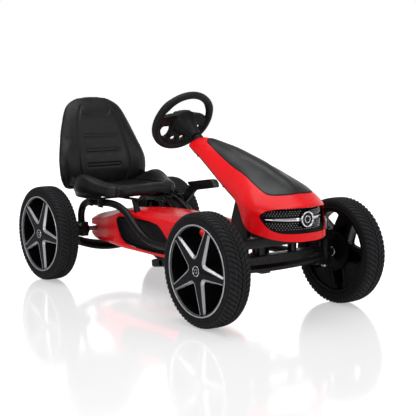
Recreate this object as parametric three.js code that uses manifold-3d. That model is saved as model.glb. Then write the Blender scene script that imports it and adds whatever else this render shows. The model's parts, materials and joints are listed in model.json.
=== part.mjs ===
// Pedal go kart for a child: tube frame, chain drive to the rear axle, pinned track rod steering,
// hand brake, sliding bucket seat, two-part bodywork and four spoked wheels with solid tyres.
// Frame: +X forward, +Y to the rider's left, +Z up, origin on the floor below the middle of the kart.
import * as THREE from "three";
import { mergeVertices } from "three/addons/utils/BufferGeometryUtils.js";
import Module from "manifold-3d";

const wasm = await Module();
wasm.setup();

// ---- Driving dimensions, in millimetres and degrees ----
const WHEELBASE = 900;
const AXLE_X = WHEELBASE / 2;
const AXLE_Z = 160; // also the tyre radius
const WHEEL_Y = 253; // middle plane of each wheel
const TYRE_WIDTH = 70;
const WHEEL_SIDES = 20; // facets round a wheel, one of them flat on the floor
const RIM_R = 128;
const SHAFT_R = 8; // axles, crank spindle and steering shaft
const BORE_R = 8.6; // running bore for those shafts
const GAP = 0.3; // between pieces that touch

const KINGPIN_Y = 190;
const KINGPIN_R = 7;
const STEER_ARM = 60; // kingpin to track rod pin
const TRACK_ROD_X = AXLE_X - STEER_ARM;
const STEER_HUB = [-3, 0, 546]; // centre of the steering wheel
const STEER_TILT = 35; // shaft angle below the horizontal
const STEER_RING_R = 98;
const STEER_GRIP_R = 12;
const SHAFT_LENGTH = 528;
const PITMAN = 39; // pitman pin below the shaft

const CRANK_X = 150;
const CRANK_Z = 188;
const CRANK_R = 72;
const CRANK_ANGLE = -38; // of the right arm from +X towards +Z
const PEDAL_Y = 195;
const PEDAL_LENGTH = 92;
const PEDAL_WIDTH = 84;
const RIGHT_PEDAL_TILT = 8;
const LEFT_PEDAL_TILT = 78;
const CHAIN_Y = -38;
const CHAIN_PITCH = 12.7;
const CRANK_TEETH = 24;
const AXLE_TEETH = 16;

const TUBE_Y = 120; // side tubes
const TUBE_R = 12;
const BEAM_TOP = 146;
const BEAM_BOTTOM = 112;

const SEAT_Z = 286; // underside of the seat pan
const BRAKE_X = -208;
const BRAKE_Y = 152;
const BRAKE_Z = 262;

const RED = 0xd81320;
const BLACK = 0x17171a;
const DARK_GREY = 0x46464a;

// ---- Small helpers ----
const rad = (degrees) => (degrees * Math.PI) / 180;
const kart = new THREE.Group();

function finish(color, roughness, metalness = 0) {
  return new THREE.MeshStandardMaterial({ color, roughness, metalness });
}

// A closed geometry as a manifold-3d solid.
function solid(geometry) {
  const bare = geometry.clone();
  bare.deleteAttribute("normal");
  bare.deleteAttribute("uv");
  const merged = mergeVertices(bare, 1e-3);
  const made = new wasm.Manifold(
    new wasm.Mesh({
      numProp: 3,
      vertProperties: new Float32Array(merged.attributes.position.array),
      triVerts: new Uint32Array(merged.index.array),
    }),
  );
  return made;
}

// Adds a named piece made of one solid, or of several that are joined.
function piece(name, material, first, ...others) {
  const joined = others.reduce((sum, next) => sum.add(next), first);
  const mesh = joined.getMesh();
  const geometry = new THREE.BufferGeometry();
  geometry.setAttribute("position", new THREE.BufferAttribute(new Float32Array(mesh.vertProperties), 3));
  geometry.setIndex(new THREE.BufferAttribute(new Uint32Array(mesh.triVerts), 1));
  geometry.computeVertexNormals();
  const node = new THREE.Mesh(geometry, material);
  node.name = name;
  kart.add(node);
  return joined;
}

function box(x0, x1, y0, y1, z0, z1) {
  const geometry = new THREE.BoxGeometry(x1 - x0, y1 - y0, z1 - z0);
  return solid(geometry.translate((x0 + x1) / 2, (y0 + y1) / 2, (z0 + z1) / 2));
}

// A solid of revolution round the line from `from` to `to`; profile points are [radius, distance].
function turned(from, to, profile, sides = 16, phase = 0) {
  const start = new THREE.Vector3(...from);
  const along = new THREE.Vector3(...to).sub(start).normalize();
  const points = profile.map(([r, h]) => new THREE.Vector2(r, h));
  const geometry = new THREE.LatheGeometry(points, sides, phase);
  const turn = new THREE.Quaternion().setFromUnitVectors(new THREE.Vector3(0, 1, 0), along);
  geometry.applyQuaternion(turn).translate(start.x, start.y, start.z);
  return solid(geometry);
}

// A round bar between two points.
function rod(from, to, radius, sides = 12, endRadius = radius) {
  const length = new THREE.Vector3(...from).distanceTo(new THREE.Vector3(...to));
  return turned(from, to, [[0, 0], [radius, 0], [endRadius, length], [0, length]], sides);
}

// A round bar across the kart at x, z.
function crossRod(x, z, y0, y1, radius, sides = 16) {
  return rod([x, y0, z], [x, y1, z], radius, sides);
}

// A tube of round section along a smooth curve through points.
function bentTube(points, radius, steps, sides = 10) {
  const path = new THREE.CatmullRomCurve3(points.map((p) => new THREE.Vector3(...p)), false, "centripetal");
  const section = new THREE.Shape();
  section.absarc(0, 0, radius, 0, 2 * Math.PI);
  const geometry = new THREE.ExtrudeGeometry(section, { extrudePath: path, steps, curveSegments: sides / 2 });
  return solid(geometry);
}

// A flat outline of [a, b] points as a plate `depth` thick, before it is placed by a matrix.
function plate(outline, depth, holes = []) {
  const shape = new THREE.Shape(outline.map(([a, b]) => new THREE.Vector2(a, b)));
  for (const hole of holes) shape.holes.push(new THREE.Path(hole.map(([a, b]) => new THREE.Vector2(a, b))));
  return new THREE.ExtrudeGeometry(shape, { depth, bevelEnabled: false });
}

// An outline in X and Z, extruded across the kart from y0 to y1.
function sidePlate(outline, y0, y1, holes = []) {
  const geometry = plate(outline, y1 - y0, holes);
  return solid(geometry.rotateX(Math.PI / 2).translate(0, y1, 0));
}

// A closed solid through rings of points, each ring given in the same order.
function loft(rings) {
  const count = rings[0].length;
  const positions = [];
  const faces = [];
  for (const ring of rings) for (const point of ring) positions.push(...point);
  for (const ring of [rings[0], rings[rings.length - 1]]) {
    const middle = [0, 1, 2].map((k) => ring.reduce((sum, point) => sum + point[k], 0) / count);
    positions.push(...middle);
  }
  for (let i = 0; i + 1 < rings.length; i++) {
    for (let j = 0; j < count; j++) {
      const a = i * count + j;
      const b = i * count + ((j + 1) % count);
      faces.push(a, b, b + count, a, b + count, a + count);
    }
  }
  const firstMiddle = rings.length * count;
  const lastRing = (rings.length - 1) * count;
  for (let j = 0; j < count; j++) {
    const next = (j + 1) % count;
    faces.push(firstMiddle, next, j);
    faces.push(firstMiddle + 1, lastRing + j, lastRing + next);
  }
  const geometry = new THREE.BufferGeometry();
  geometry.setAttribute("position", new THREE.BufferAttribute(new Float32Array(positions), 3));
  geometry.setIndex(faces);
  const made = solid(geometry);
  if (made.volume() > 0) return made;
  const flipped = [];
  for (let k = 0; k < faces.length; k += 3) flipped.push(faces[k], faces[k + 2], faces[k + 1]);
  geometry.setIndex(flipped);
  return solid(geometry);
}

// ---- Materials ----
const redShell = finish(RED, 0.25);
const blackPlastic = finish(BLACK, 0.5);
const blackSteel = finish(0x101012, 0.4, 0.3);
const greyPlastic = finish(DARK_GREY, 0.45);
const rubber = finish(0x1b1b1d, 0.8);
const leather = finish(0x1d1d1f, 0.6);
const chrome = finish(0xc8c8cc, 0.15, 1);
const zinc = finish(0x9a9a9e, 0.35, 0.9);

// ---- Frame: beams and tubes ----
function mainBeam() {
  return box(-430, 405, -17, 17, BEAM_BOTTOM, BEAM_TOP);
}

// Centre line of a side tube, from the rear bearing up under the seat and down to the front beam.
const TUBE_LINE = [
  [-452, 187], [-452, 214], [-436, 244], [-400, 261], [-340, 264], [-250, 268], [-195, 260],
  [-150, 240], [-108, 209], [-67, 184], [-22, 167], [30, 162], [90, 162], [230, 162], [409.6, 162],
];

function sideTube(side) {
  return bentTube(TUBE_LINE.map(([x, z]) => [x, side * TUBE_Y, z]), TUBE_R, 26);
}

// A channel across the kart that rises by `rise` from its middle to its ends, cut off level at `top`.
function bowedBeam([x0, x1], halfWidth, bottom, height, rise, top) {
  const rings = [];
  const steps = 8;
  const lip = 6;
  for (let i = 0; i <= steps; i++) {
    const y = -halfWidth + (2 * halfWidth * i) / steps;
    const z = bottom + rise * (y / halfWidth) ** 2;
    const roof = Math.min(z + height, top);
    const ring = [[x0, z + lip], [x0 + lip, z], [x1 - lip, z], [x1, z + lip], [x1, roof], [x0, roof]];
    rings.push(ring.map(([x, level]) => [x, y, level]));
  }
  return loft(rings);
}

const KINGPIN_LUG = [128, 140];
const FRONT_BEAM_TOP = 178;

function frontBeam() {
  const bow = bowedBeam([AXLE_X - 25, AXLE_X + 25], 172, 133, 45, 20, FRONT_BEAM_TOP);
  const parts = [];
  const holes = [];
  for (const side of [-1, 1]) {
    const [y0, y1, y2] = [140, 172, 204].map((y) => side * y);
    parts.push(box(AXLE_X - 16, AXLE_X + 16, Math.min(y0, y2), Math.max(y0, y2), ...KINGPIN_LUG));
    parts.push(box(AXLE_X - 14, AXLE_X + 14, Math.min(y0, y1), Math.max(y0, y1), 130, 165));
    parts.push(rod([AXLE_X - 40, side * TUBE_Y, 162], [AXLE_X - 24, side * TUBE_Y, 162], TUBE_R + 3));
    holes.push(kingpinBar(side, KINGPIN_R + 0.4, 100, 300));
  }
  const joined = parts.reduce((sum, part) => sum.add(part), bow);
  return joined.subtract(holes[0]).subtract(holes[1]);
}

function kingpinBar(side, radius, z0, z1) {
  return rod([AXLE_X, side * KINGPIN_Y, z0], [AXLE_X, side * KINGPIN_Y, z1], radius);
}

const CROSSMEMBER_Z = [202, 230];

function frontCrossmember() {
  const bar = box(AXLE_X - 15, AXLE_X + 15, -206, 206, ...CROSSMEMBER_Z);
  const foot = FRONT_BEAM_TOP + GAP;
  const struts = [-60, 60].map((y) => box(AXLE_X - 9, AXLE_X + 9, y - 10, y + 10, foot, CROSSMEMBER_Z[0]));
  const holes = [-1, 1].map((side) => kingpinBar(side, KINGPIN_R + 0.4, 190, 300));
  return bar.add(struts[0]).add(struts[1]).subtract(holes[0]).subtract(holes[1]);
}

function kingpin(side) {
  const bar = kingpinBar(side, KINGPIN_R, 122, 262);
  const head = rod([AXLE_X, side * KINGPIN_Y, 260], [AXLE_X, side * KINGPIN_Y, 268], 11, 6);
  const foot = rod([AXLE_X, side * KINGPIN_Y, 118], [AXLE_X, side * KINGPIN_Y, KINGPIN_LUG[0] - GAP], 11, 6);
  const collar = kingpinBar(side, 11, CROSSMEMBER_Z[1] + GAP, 262);
  return bar.add(head).add(foot).add(collar);
}

const BEARING_Z = [138, 187 - GAP];

function rearBeam() {
  return bowedBeam([-AXLE_X - 20, -AXLE_X + 20], 136, 79, 32, 27, BEARING_Z[0] - GAP);
}

function rearBearing(side) {
  const y = side * TUBE_Y;
  const block = box(-AXLE_X - 24, -AXLE_X + 24, y - 13, y + 13, ...BEARING_Z);
  const boss = crossRod(-AXLE_X, AXLE_Z, y - 20, y + 20, 20);
  return block.add(boss).subtract(crossRod(-AXLE_X, AXLE_Z, y - 40, y + 40, BORE_R));
}

// Cradle that carries the crank spindle on the main beam.
function crankBracket() {
  const foot = box(CRANK_X - 24, CRANK_X + 24, -17, 17, BEAM_TOP + GAP, BEAM_TOP + 8);
  const post = box(CRANK_X - 14, CRANK_X + 14, -15, 15, BEAM_TOP + 4, CRANK_Z);
  const shell = crossRod(CRANK_X, CRANK_Z, -24, 24, 18);
  return foot.add(post).add(shell).subtract(crossRod(CRANK_X, CRANK_Z, -60, 60, BORE_R));
}

// ---- Drive ----
const sprocketRadius = (teeth) => CHAIN_PITCH / (2 * Math.sin(Math.PI / teeth));
const CHAIN_WHEEL_R = sprocketRadius(CRANK_TEETH);
const AXLE_SPROCKET_R = sprocketRadius(AXLE_TEETH);

// Outline of the chain run at a distance `out` from its pitch line.
function chainOutline(out) {
  const front = CHAIN_WHEEL_R + out;
  const rear = AXLE_SPROCKET_R + out;
  const dx = CRANK_X + AXLE_X;
  const dz = CRANK_Z - AXLE_Z;
  const slope = Math.atan2(dz, dx);
  const lean = Math.asin((front - rear) / Math.hypot(dx, dz));
  const points = [];
  const steps = 12;
  const frontFrom = slope - Math.PI / 2 - lean;
  const rearFrom = slope + Math.PI / 2 + lean;
  for (let i = 0; i <= steps; i++) {
    const angle = frontFrom + ((Math.PI + 2 * lean) * i) / steps;
    points.push([CRANK_X + front * Math.cos(angle), CRANK_Z + front * Math.sin(angle)]);
  }
  for (let i = 0; i <= steps; i++) {
    const angle = rearFrom + ((Math.PI - 2 * lean) * i) / steps;
    points.push([-AXLE_X + rear * Math.cos(angle), AXLE_Z + rear * Math.sin(angle)]);
  }
  return points;
}

function chain() {
  return sidePlate(chainOutline(4), CHAIN_Y - 4, CHAIN_Y + 4, [chainOutline(-3.5)]);
}

function sprocket(x, z, pitchRadius, hubRadius) {
  const disc = crossRod(x, z, CHAIN_Y - 1.5, CHAIN_Y + 1.5, pitchRadius - 5, 24);
  const hub = crossRod(x, z, CHAIN_Y - 9, CHAIN_Y + 9, hubRadius, 12);
  return disc.add(hub).subtract(crossRod(x, z, CHAIN_Y - 20, CHAIN_Y + 20, SHAFT_R + GAP));
}

const ARM_Y = [137, 147];
const pedalCentre = (side) => {
  const angle = rad(CRANK_ANGLE) + (side > 0 ? Math.PI : 0);
  return [CRANK_X + CRANK_R * Math.cos(angle), CRANK_Z + CRANK_R * Math.sin(angle)];
};

function crankSpindle() {
  return crossRod(CRANK_X, CRANK_Z, -ARM_Y[1] - 6, ARM_Y[1] + 6, SHAFT_R);
}

function crankArm(side) {
  const [x, z] = pedalCentre(side);
  const y0 = side * ARM_Y[0];
  const y1 = side * ARM_Y[1];
  const bossA = crossRod(CRANK_X, CRANK_Z, y0, y1, 17);
  const bossB = crossRod(x, z, y0, y1, 11);
  const bar = new THREE.BoxGeometry(CRANK_R, Math.abs(y1 - y0) - 2, 16);
  bar.rotateY(-Math.atan2(z - CRANK_Z, x - CRANK_X));
  bar.translate((x + CRANK_X) / 2, (y0 + y1) / 2, (z + CRANK_Z) / 2);
  const pin = crossRod(x, z, y0, side * (PEDAL_Y + PEDAL_WIDTH / 2 - 6), 5, 12);
  const made = bossA.add(bossB).add(solid(bar)).add(pin);
  return made.subtract(crossRod(CRANK_X, CRANK_Z, -200, 200, SHAFT_R + GAP));
}

// A ribbed pedal block that turns on the pin of its crank arm.
function pedal(side, tilt) {
  const [x, z] = pedalCentre(side);
  const half = PEDAL_LENGTH / 2;
  const chamfer = 9;
  const outline = [
    [-half, -8], [-half + chamfer, -12], [half - chamfer, -12], [half, -8],
    [half, 8], [half - chamfer, 12], [-half + chamfer, 12], [-half, 8],
  ];
  const y = side * PEDAL_Y;
  const geometry = plate(outline, PEDAL_WIDTH).rotateX(Math.PI / 2).translate(0, PEDAL_WIDTH / 2, 0);
  geometry.rotateY(-rad(tilt)).translate(x, y, z);
  const body = solid(geometry);
  const outer = y - side * (PEDAL_WIDTH / 2 + 5);
  const inner = y + side * (PEDAL_WIDTH / 2 - 5);
  return body.subtract(crossRod(x, z, outer, inner, 5.6, 12));
}

// ---- Wheels ----
// Radii are to the middle of each facet, so a flat of the tyre lies on the floor.
const facet = (r) => r / Math.cos(Math.PI / WHEEL_SIDES);

// A ring or disc on the wheel at x, side; profile points are [radius, distance outwards].
function wheelTurned(x, side, profile) {
  const points = profile.map(([r, u]) => [facet(r), u]);
  const from = [x, side * WHEEL_Y, AXLE_Z];
  return turned(from, [x, side * (WHEEL_Y + 1), AXLE_Z], points, WHEEL_SIDES, Math.PI / WHEEL_SIDES);
}

function tyre(x, side) {
  const half = TYRE_WIDTH / 2;
  const profile = [
    [RIM_R + GAP, -29], [140, -half], [153, -half + 3], [159, -half + 13], [AXLE_Z, -10],
    [AXLE_Z, 10], [159, half - 13], [153, half - 3], [140, half], [RIM_R + GAP, half - 1],
  ];
  return wheelTurned(x, side, [...profile, profile[0]]);
}

const SPOKES = 5;

// One of the five openings between the spokes, as a cutter through the disc of the wheel.
function rimWindow(x, side, angle) {
  const outer = 111;
  const outline = [];
  for (let i = 0; i <= 3; i++) {
    const a = rad(-28 + (56 * i) / 3);
    outline.push([outer * Math.cos(a), outer * Math.sin(a)]);
  }
  outline.push([52, 9], [48, 0], [52, -9]);
  const geometry = plate(outline, 90).translate(0, 0, -45).rotateZ(angle);
  geometry.rotateX(Math.PI / 2).translate(x, side * WHEEL_Y, AXLE_Z);
  return solid(geometry);
}

function rim(x, side, bore) {
  const profile = [
    [bore, -34], [24, -34], [46, -28], [46, -22], [118, -22], [120, -30], [RIM_R, -30],
    [RIM_R, 33], [126, 34.6], [121, 34.6], [113, 31], [bore, 31],
  ];
  let made = wheelTurned(x, side, [...profile, profile[0]]);
  for (let k = 0; k < SPOKES; k++) {
    made = made.subtract(rimWindow(x, side, rad(30 + (360 / SPOKES) * k)));
  }
  return made;
}

function hubCap(x, side) {
  const from = [x, side * (WHEEL_Y + 31 + GAP), AXLE_Z];
  return turned(from, [x, side * 400, AXLE_Z], [[0, 0], [24, 0], [24, 2], [18, 4], [0, 4]], 20);
}

function addWheel(label, x, side, bore) {
  piece(label + "_tyre", rubber, tyre(x, side));
  piece(label + "_rim", blackPlastic, rim(x, side, bore));
  piece(label + "_hub_cap", chrome, hubCap(x, side));
}

// ---- Steering ----
// Places local geometry: local X is up in the plane of the steering wheel, Y to the left,
// and Z along the shaft towards the rider.
function onSteering(geometry) {
  return solid(geometry.rotateY(-rad(90 - STEER_TILT)).translate(...STEER_HUB));
}

// Point on the shaft's line at a distance down from the steering wheel, and `below` it square to the shaft.
function shaftPoint(down, below = 0, y = 0) {
  const c = Math.cos(rad(STEER_TILT));
  const s = Math.sin(rad(STEER_TILT));
  return [STEER_HUB[0] + down * c - below * s, y, STEER_HUB[2] - down * s - below * c];
}

function steeringRim() {
  const ring = new THREE.TorusGeometry(STEER_RING_R, STEER_GRIP_R, 8, 28);
  return onSteering(ring);
}

// Hub, two broad upper spokes and two lower spokes, ending just inside the grip.
function steeringSpokes() {
  const thick = 14;
  const reach = STEER_RING_R - STEER_GRIP_R - 1;
  const outlines = [
    [
      [-16, -reach + 2], [14, -reach + 1], [16, -30], [20, 0], [16, 30], [14, reach - 1],
      [-16, reach - 2], [-30, 30], [-30, -30],
    ],
    [[-20, -34], [-reach + 16, -48], [-reach + 4, -26], [-30, -12]],
    [[-20, 34], [-30, 12], [-reach + 4, 26], [-reach + 16, 48]],
  ];
  const arms = outlines.map((outline) => onSteering(plate(outline, thick).translate(0, 0, -thick / 2)));
  const hub = new THREE.CylinderGeometry(34, 38, 26, 20).rotateX(Math.PI / 2);
  const bore = rod(shaftPoint(-6), shaftPoint(60), SHAFT_R + GAP);
  return arms[0].add(arms[1]).add(arms[2]).add(onSteering(hub)).subtract(bore);
}

function steeringPad() {
  return turned(shaftPoint(-13 - GAP), shaftPoint(-40), [[0, 0], [32, 0], [32, 5], [24, 10], [0, 12]]);
}

// Cone that hides the joint of wheel and shaft.
function steeringCone() {
  const bore = SHAFT_R + GAP;
  const profile = [[bore, 0], [36, 0], [34, 10], [22, 56], [18, 74], [bore, 74], [bore, 0]];
  return turned(shaftPoint(13 + GAP), shaftPoint(200), profile);
}

function steeringShaft() {
  const bar = rod(shaftPoint(-4), shaftPoint(SHAFT_LENGTH), SHAFT_R);
  const boss = rod(shaftPoint(SHAFT_LENGTH - 14), shaftPoint(SHAFT_LENGTH), 14);
  const arm = new THREE.BoxGeometry(PITMAN, 14, 8).translate(-PITMAN / 2, 0, -SHAFT_LENGTH + 4);
  const eye = rod(shaftPoint(SHAFT_LENGTH - 8, PITMAN), shaftPoint(SHAFT_LENGTH, PITMAN), 9);
  const pin = rod(shaftPoint(SHAFT_LENGTH - 22, PITMAN), shaftPoint(SHAFT_LENGTH - 4, PITMAN), 4);
  return bar.add(boss).add(onSteering(arm)).add(eye).add(pin);
}

// Sleeve round the shaft at the top of the nose fairing.
const SLEEVE = [96, 168];
const SLEEVE_R = 18;

function columnSleeve() {
  const outside = rod(shaftPoint(SLEEVE[0]), shaftPoint(SLEEVE[1]), SLEEVE_R, 16);
  return outside.subtract(rod(shaftPoint(SLEEVE[0] - 9), shaftPoint(SLEEVE[1] + 9), BORE_R));
}

// Bracket on the main beam with two cheeks and a bush block for the lower end of the shaft.
function steeringHead() {
  const rear = 296;
  const front = 370;
  const foot = box(rear, front, -42, 42, BEAM_TOP + GAP, BEAM_TOP + 7);
  const low = BEAM_TOP + 2;
  const cheek = [[rear, low], [front, low], [front, 300], [350, 334], [318, 330], [rear, 268]];
  const cheeks = [-1, 1].map((side) => sidePlate(cheek, side * 39 - 3, side * 39 + 3));
  const down = (330 - STEER_HUB[0]) / Math.cos(rad(STEER_TILT));
  const bush = new THREE.BoxGeometry(30, 78, 34).translate(0, 0, -down);
  const bore = rod(shaftPoint(down - 40), shaftPoint(down + 40), BORE_R);
  return foot.add(cheeks[0]).add(cheeks[1]).add(onSteering(bush)).subtract(bore);
}

const ARM_Z = [185, 193];
const ROD_Z = [197, 206];

function knuckle(side) {
  const y = side * KINGPIN_Y;
  const sleeve = rod([AXLE_X, y, KINGPIN_LUG[1] + 1], [AXLE_X, y, CROSSMEMBER_Z[0] - 1], 15, 16);
  const cone = rod([AXLE_X, y, AXLE_Z], [AXLE_X, side * (WHEEL_Y - 34 - 0.5), AXLE_Z], 17, 16, 12);
  const stub = rod([AXLE_X, y, AXLE_Z], [AXLE_X, side * (WHEEL_Y + 22), AXLE_Z], SHAFT_R, 16);
  const arm = box(TRACK_ROD_X - 13, AXLE_X - 6, y - 11, y + 11, ...ARM_Z);
  const slotHalf = 5;
  const slot = box(TRACK_ROD_X - 8.5, TRACK_ROD_X + 6, y - slotHalf, y + slotHalf, 180, 200);
  const bore = rod([AXLE_X, y, 140], [AXLE_X, y, 210], KINGPIN_R + 0.6);
  return sleeve.add(cone).add(stub).add(arm).subtract(slot).subtract(bore);
}

// Bar between the two knuckle arms, with a pin at each end and a slotted tab for the steering shaft's pin.
function trackRod() {
  const bar = box(TRACK_ROD_X - 8, TRACK_ROD_X + 8, -KINGPIN_Y - 9, KINGPIN_Y + 9, ...ROD_Z);
  const pins = [-1, 1].map((side) => {
    const y = side * KINGPIN_Y;
    return rod([TRACK_ROD_X, y, ARM_Z[0] - 2], [TRACK_ROD_X, y, ROD_Z[1]], 4);
  });
  const tab = new THREE.BoxGeometry(38, 34, 6).translate(-PITMAN - 3, 0, -SHAFT_LENGTH + 15);
  const slotHole = new THREE.BoxGeometry(19, 9.6, 20).translate(-PITMAN + 3, 0, -SHAFT_LENGTH + 15);
  return bar.add(pins[0]).add(pins[1]).add(onSteering(tab)).subtract(onSteering(slotHole));
}

// ---- Nose fairing ----
// Stations from the rear tip to the front: x, half width, crown, top of the side wall, lower edge.
const NOSE = [
  [76, 34, 485, 474, 470], [90, 41, 494, 474, 467], [110, 45, 498, 468, 461], [153, 53, 495, 452, 445],
  [214, 62, 482, 421, 413], [270, 72, 469, 394, 385], [327, 84, 453, 368, 359], [377, 98, 438, 352, 341],
  [409, 110, 427, 340, 326], [438, 122, 415, 327, 300], [457, 127, 407, 322, 276], [475, 128, 400, 318, 262],
  [497, 126, 390, 314, 253], [525, 116, 374, 310, 246], [545, 103, 358, 309, 240], [562, 87, 346, 310, 236],
  [576, 67, 337, 312, 233], [585, 45, 331, 313, 231], [589.5, 22, 327, 313, 230],
];
const NOSE_CROWN = 1.62; // exponent of the rounded roof
const NOSE_WALL = 3.5;
const NOSE_MIDDLE = 470;

// The fairing's outer form, shrunk by `inset`, with its lower edge dropped by `below`.
function noseForm(inset, below = 0) {
  const front = NOSE[NOSE.length - 1][0] - NOSE_MIDDLE;
  const rings = NOSE.map(([x, w, crown, wall, lower], i) => {
    let at = x;
    if (x > NOSE_MIDDLE) at = NOSE_MIDDLE + ((x - NOSE_MIDDLE) * (front - inset)) / front;
    else if (i === 0) at = x + inset;
    const half = Math.max(w - inset, 4);
    const ring = [];
    const steps = 4;
    for (let k = -steps; k <= steps; k++) {
      const share = Math.sin((k / steps) * (Math.PI / 2));
      const rise = (1 - Math.abs(share) ** NOSE_CROWN) ** (1 / NOSE_CROWN);
      ring.push([at, half * share, wall + (crown - inset - wall) * rise]);
    }
    ring.push([at, half, lower - below], [at, -half, lower - below]);
    return ring;
  });
  return loft(rings);
}

const GRILLE_OUTLINE = [
  [-119, 303], [-112, 314], [-96, 320], [-60, 323], [60, 323], [96, 320], [112, 314], [119, 303],
  [115, 284], [104, 266], [84, 256], [50, 253], [-50, 253], [-84, 256], [-104, 266], [-115, 284],
];

// An outline in Y and Z as a solid along X.
function alongX(outline, x0, x1) {
  const geometry = plate(outline, x1 - x0);
  const turn = new THREE.Matrix4().set(0, 0, 1, x0, 1, 0, 0, 0, 0, 1, 0, 0, 0, 0, 0, 1);
  return solid(geometry.applyMatrix4(turn));
}

// Plan outline of the hood insert, grown by `grow`.
function insertOutline(grow) {
  const right = [
    [148, 9], [158, 21], [200, 32], [270, 46], [377, 63], [460, 80],
    [500, 82], [520, 70], [533, 48], [541, 22],
  ];
  const along = (x) => (x < 155 ? x - grow : x > 515 ? x + grow : x);
  const grown = right.map(([x, y]) => [along(x), y + grow]);
  return [...grown, ...grown.map(([x, y]) => [x, -y]).reverse()];
}

function fromAbove(outline, z0, z1) {
  return solid(plate(outline, z1 - z0).translate(0, 0, z0));
}

function noseFairing() {
  const shell = noseForm(0).subtract(noseForm(NOSE_WALL, 40));
  const grilleHole = alongX(GRILLE_OUTLINE, 505, 620);
  const sleeveHole = rod(shaftPoint(60), shaftPoint(SLEEVE[1] + 12), SLEEVE_R + 0.4, 20);
  const topLayer = noseForm(-5).subtract(noseForm(1.5));
  const insertPocket = topLayer.intersect(fromAbove(insertOutline(0.4), 200, 600));
  return shell.subtract(grilleHole).subtract(sleeveHole).subtract(insertPocket);
}

function hoodInsert() {
  const skin = noseForm(-0.6).subtract(noseForm(1.5 - GAP));
  return skin.intersect(fromAbove(insertOutline(0), 200, 600));
}

const GRILLE_DEPTH = 16; // of the grille behind the face of the fairing
const GRILLE_Z = 288;

// The grille's outline, scaled about its middle.
function grilleOutline(wide, high) {
  return GRILLE_OUTLINE.map(([y, z]) => [y * wide, GRILLE_Z + (z - GRILLE_Z) * high]);
}

// A curved panel set back in the opening, with a flange that reaches forward to the fairing.
function grille() {
  const panel = noseForm(GRILLE_DEPTH, 10).subtract(noseForm(GRILLE_DEPTH + 3, 60));
  const band = noseForm(NOSE_WALL + 0.6, 10).subtract(noseForm(GRILLE_DEPTH + 3, 60));
  const outside = alongX(grilleOutline(0.98, 1.12), 500, 620);
  const inside = alongX(grilleOutline(0.95, 1.02), 500, 620);
  return panel.intersect(outside).add(band.intersect(outside.subtract(inside)));
}

const BADGE_X = 578.5;
const BADGE_Z = 290;
const BADGE_R = 23;

function grilleBar() {
  const band = noseForm(GRILLE_DEPTH - 4.5).subtract(noseForm(GRILLE_DEPTH - GAP, 60));
  return band.intersect(box(505, 620, -104, 104, BADGE_Z - 4, BADGE_Z + 5));
}

function badge() {
  const from = [BADGE_X, 0, BADGE_Z];
  const profile = [[0, 0], [BADGE_R, 0], [BADGE_R, 5], [BADGE_R - 3, 7], [BADGE_R - 6, 5], [0, 5]];
  return turned(from, [620, 0, BADGE_Z], profile, 24);
}

// ---- Centre cowl over the chain ----
// Stations: x, half width, top, shoulder, bottom.
const COWL = [
  [-491, 54, 192, 181, 131], [-484, 60, 203, 189, 126], [-455, 65, 213, 194, 120], [-400, 70, 224, 200, 117],
  [-320, 86, 238, 216, 118], [-250, 98, 247, 231, 117], [-100, 101, 254, 240, 116], [50, 100, 254, 238, 115],
  [150, 96, 250, 232, 116], [215, 82, 238, 218, 120], [238, 62, 222, 204, 126],
];
const COWL_WALL = 3.5;

function cowlForm(inset, below = 0) {
  const rings = COWL.map(([x, w, top, shoulder, bottom], i) => {
    let at = x;
    if (i === 0) at = x + inset;
    if (i === COWL.length - 1) at = x - inset;
    const half = w - inset;
    const right = [
      [half * 0.86, bottom - below], [half, bottom + 11 - below / 2], [half, shoulder],
      [half * 0.62, top - inset - 4],
    ];
    const left = right.map(([y, z]) => [-y, z]).reverse();
    return [...right, [0, top - inset], ...left].map(([y, z]) => [at, y, z]);
  });
  return loft(rings);
}

const PANEL_OUTLINE = [
  [-262, 214], [-240, 225], [-180, 229], [-110, 229], [-52, 227], [-8, 221], [16, 206], [50, 174],
  [78, 138], [60, 129], [-39, 127], [-85, 128], [-144, 131], [-199, 137], [-229, 151], [-247, 178],
];

function bodyCowl() {
  const shell = cowlForm(0).subtract(cowlForm(COWL_WALL, 60));
  const axleSlot = box(-520, -436, -80, 80, AXLE_Z - 11, AXLE_Z + 11);
  const crankHole = crossRod(CRANK_X, CRANK_Z, -140, 140, 13);
  const beamHole = box(200, 260, -19, 19, 60, BEAM_TOP + 2);
  const panelHoles = sidePlate(PANEL_OUTLINE, -130, 130);
  const propHoles = [-1, 1].map((side) => seatProp(side, 12.5));
  const cuts = [axleSlot, crankHole, beamHole, panelHoles, ...propHoles];
  return cuts.reduce((left, cut) => left.subtract(cut), shell);
}

function sidePanel(side) {
  const middle = [-75, 178];
  const grown = PANEL_OUTLINE.map(([x, z]) => [x + 0.04 * (x - middle[0]), z + 0.09 * (z - middle[1])]);
  return sidePlate(grown, Math.min(side * 83, side * 86), Math.max(side * 83, side * 86));
}

// ---- Seat ----
const SEAT_TRAVEL = 30;

// Slanted prop from a seat rail down through the cowl.
function seatProp(side, radius) {
  return rod([-196, side * 64, 284], [-162, side * 72, 238], radius);
}

// Cross straps over the side tubes, rails for the seat, and two props at its front.
function seatFrame() {
  const top = SEAT_Z - 0.5;
  const under = 280.5;
  const straps = [-362, -296].map((x) => {
    const strap = box(x - 14, x + 14, -TUBE_Y - 17, TUBE_Y + 17, under, top - 2);
    const ears = [-1, 1].map((side) => {
      const y = side * (TUBE_Y + 14.5);
      return box(x - 14, x + 14, y - 2, y + 2, 252, top - 2);
    });
    return strap.add(ears[0]).add(ears[1]);
  });
  const rails = [-1, 1].map((side) => box(-430, -168, side * 62 - 9, side * 62 + 9, under, top));
  const props = [-1, 1].map((side) => seatProp(side, 10));
  const parts = [straps[1], ...rails, ...props];
  const joined = parts.reduce((sum, part) => sum.add(part), straps[0]);
  return joined.subtract(box(-600, 0, -200, 200, top, 400));
}

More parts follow.
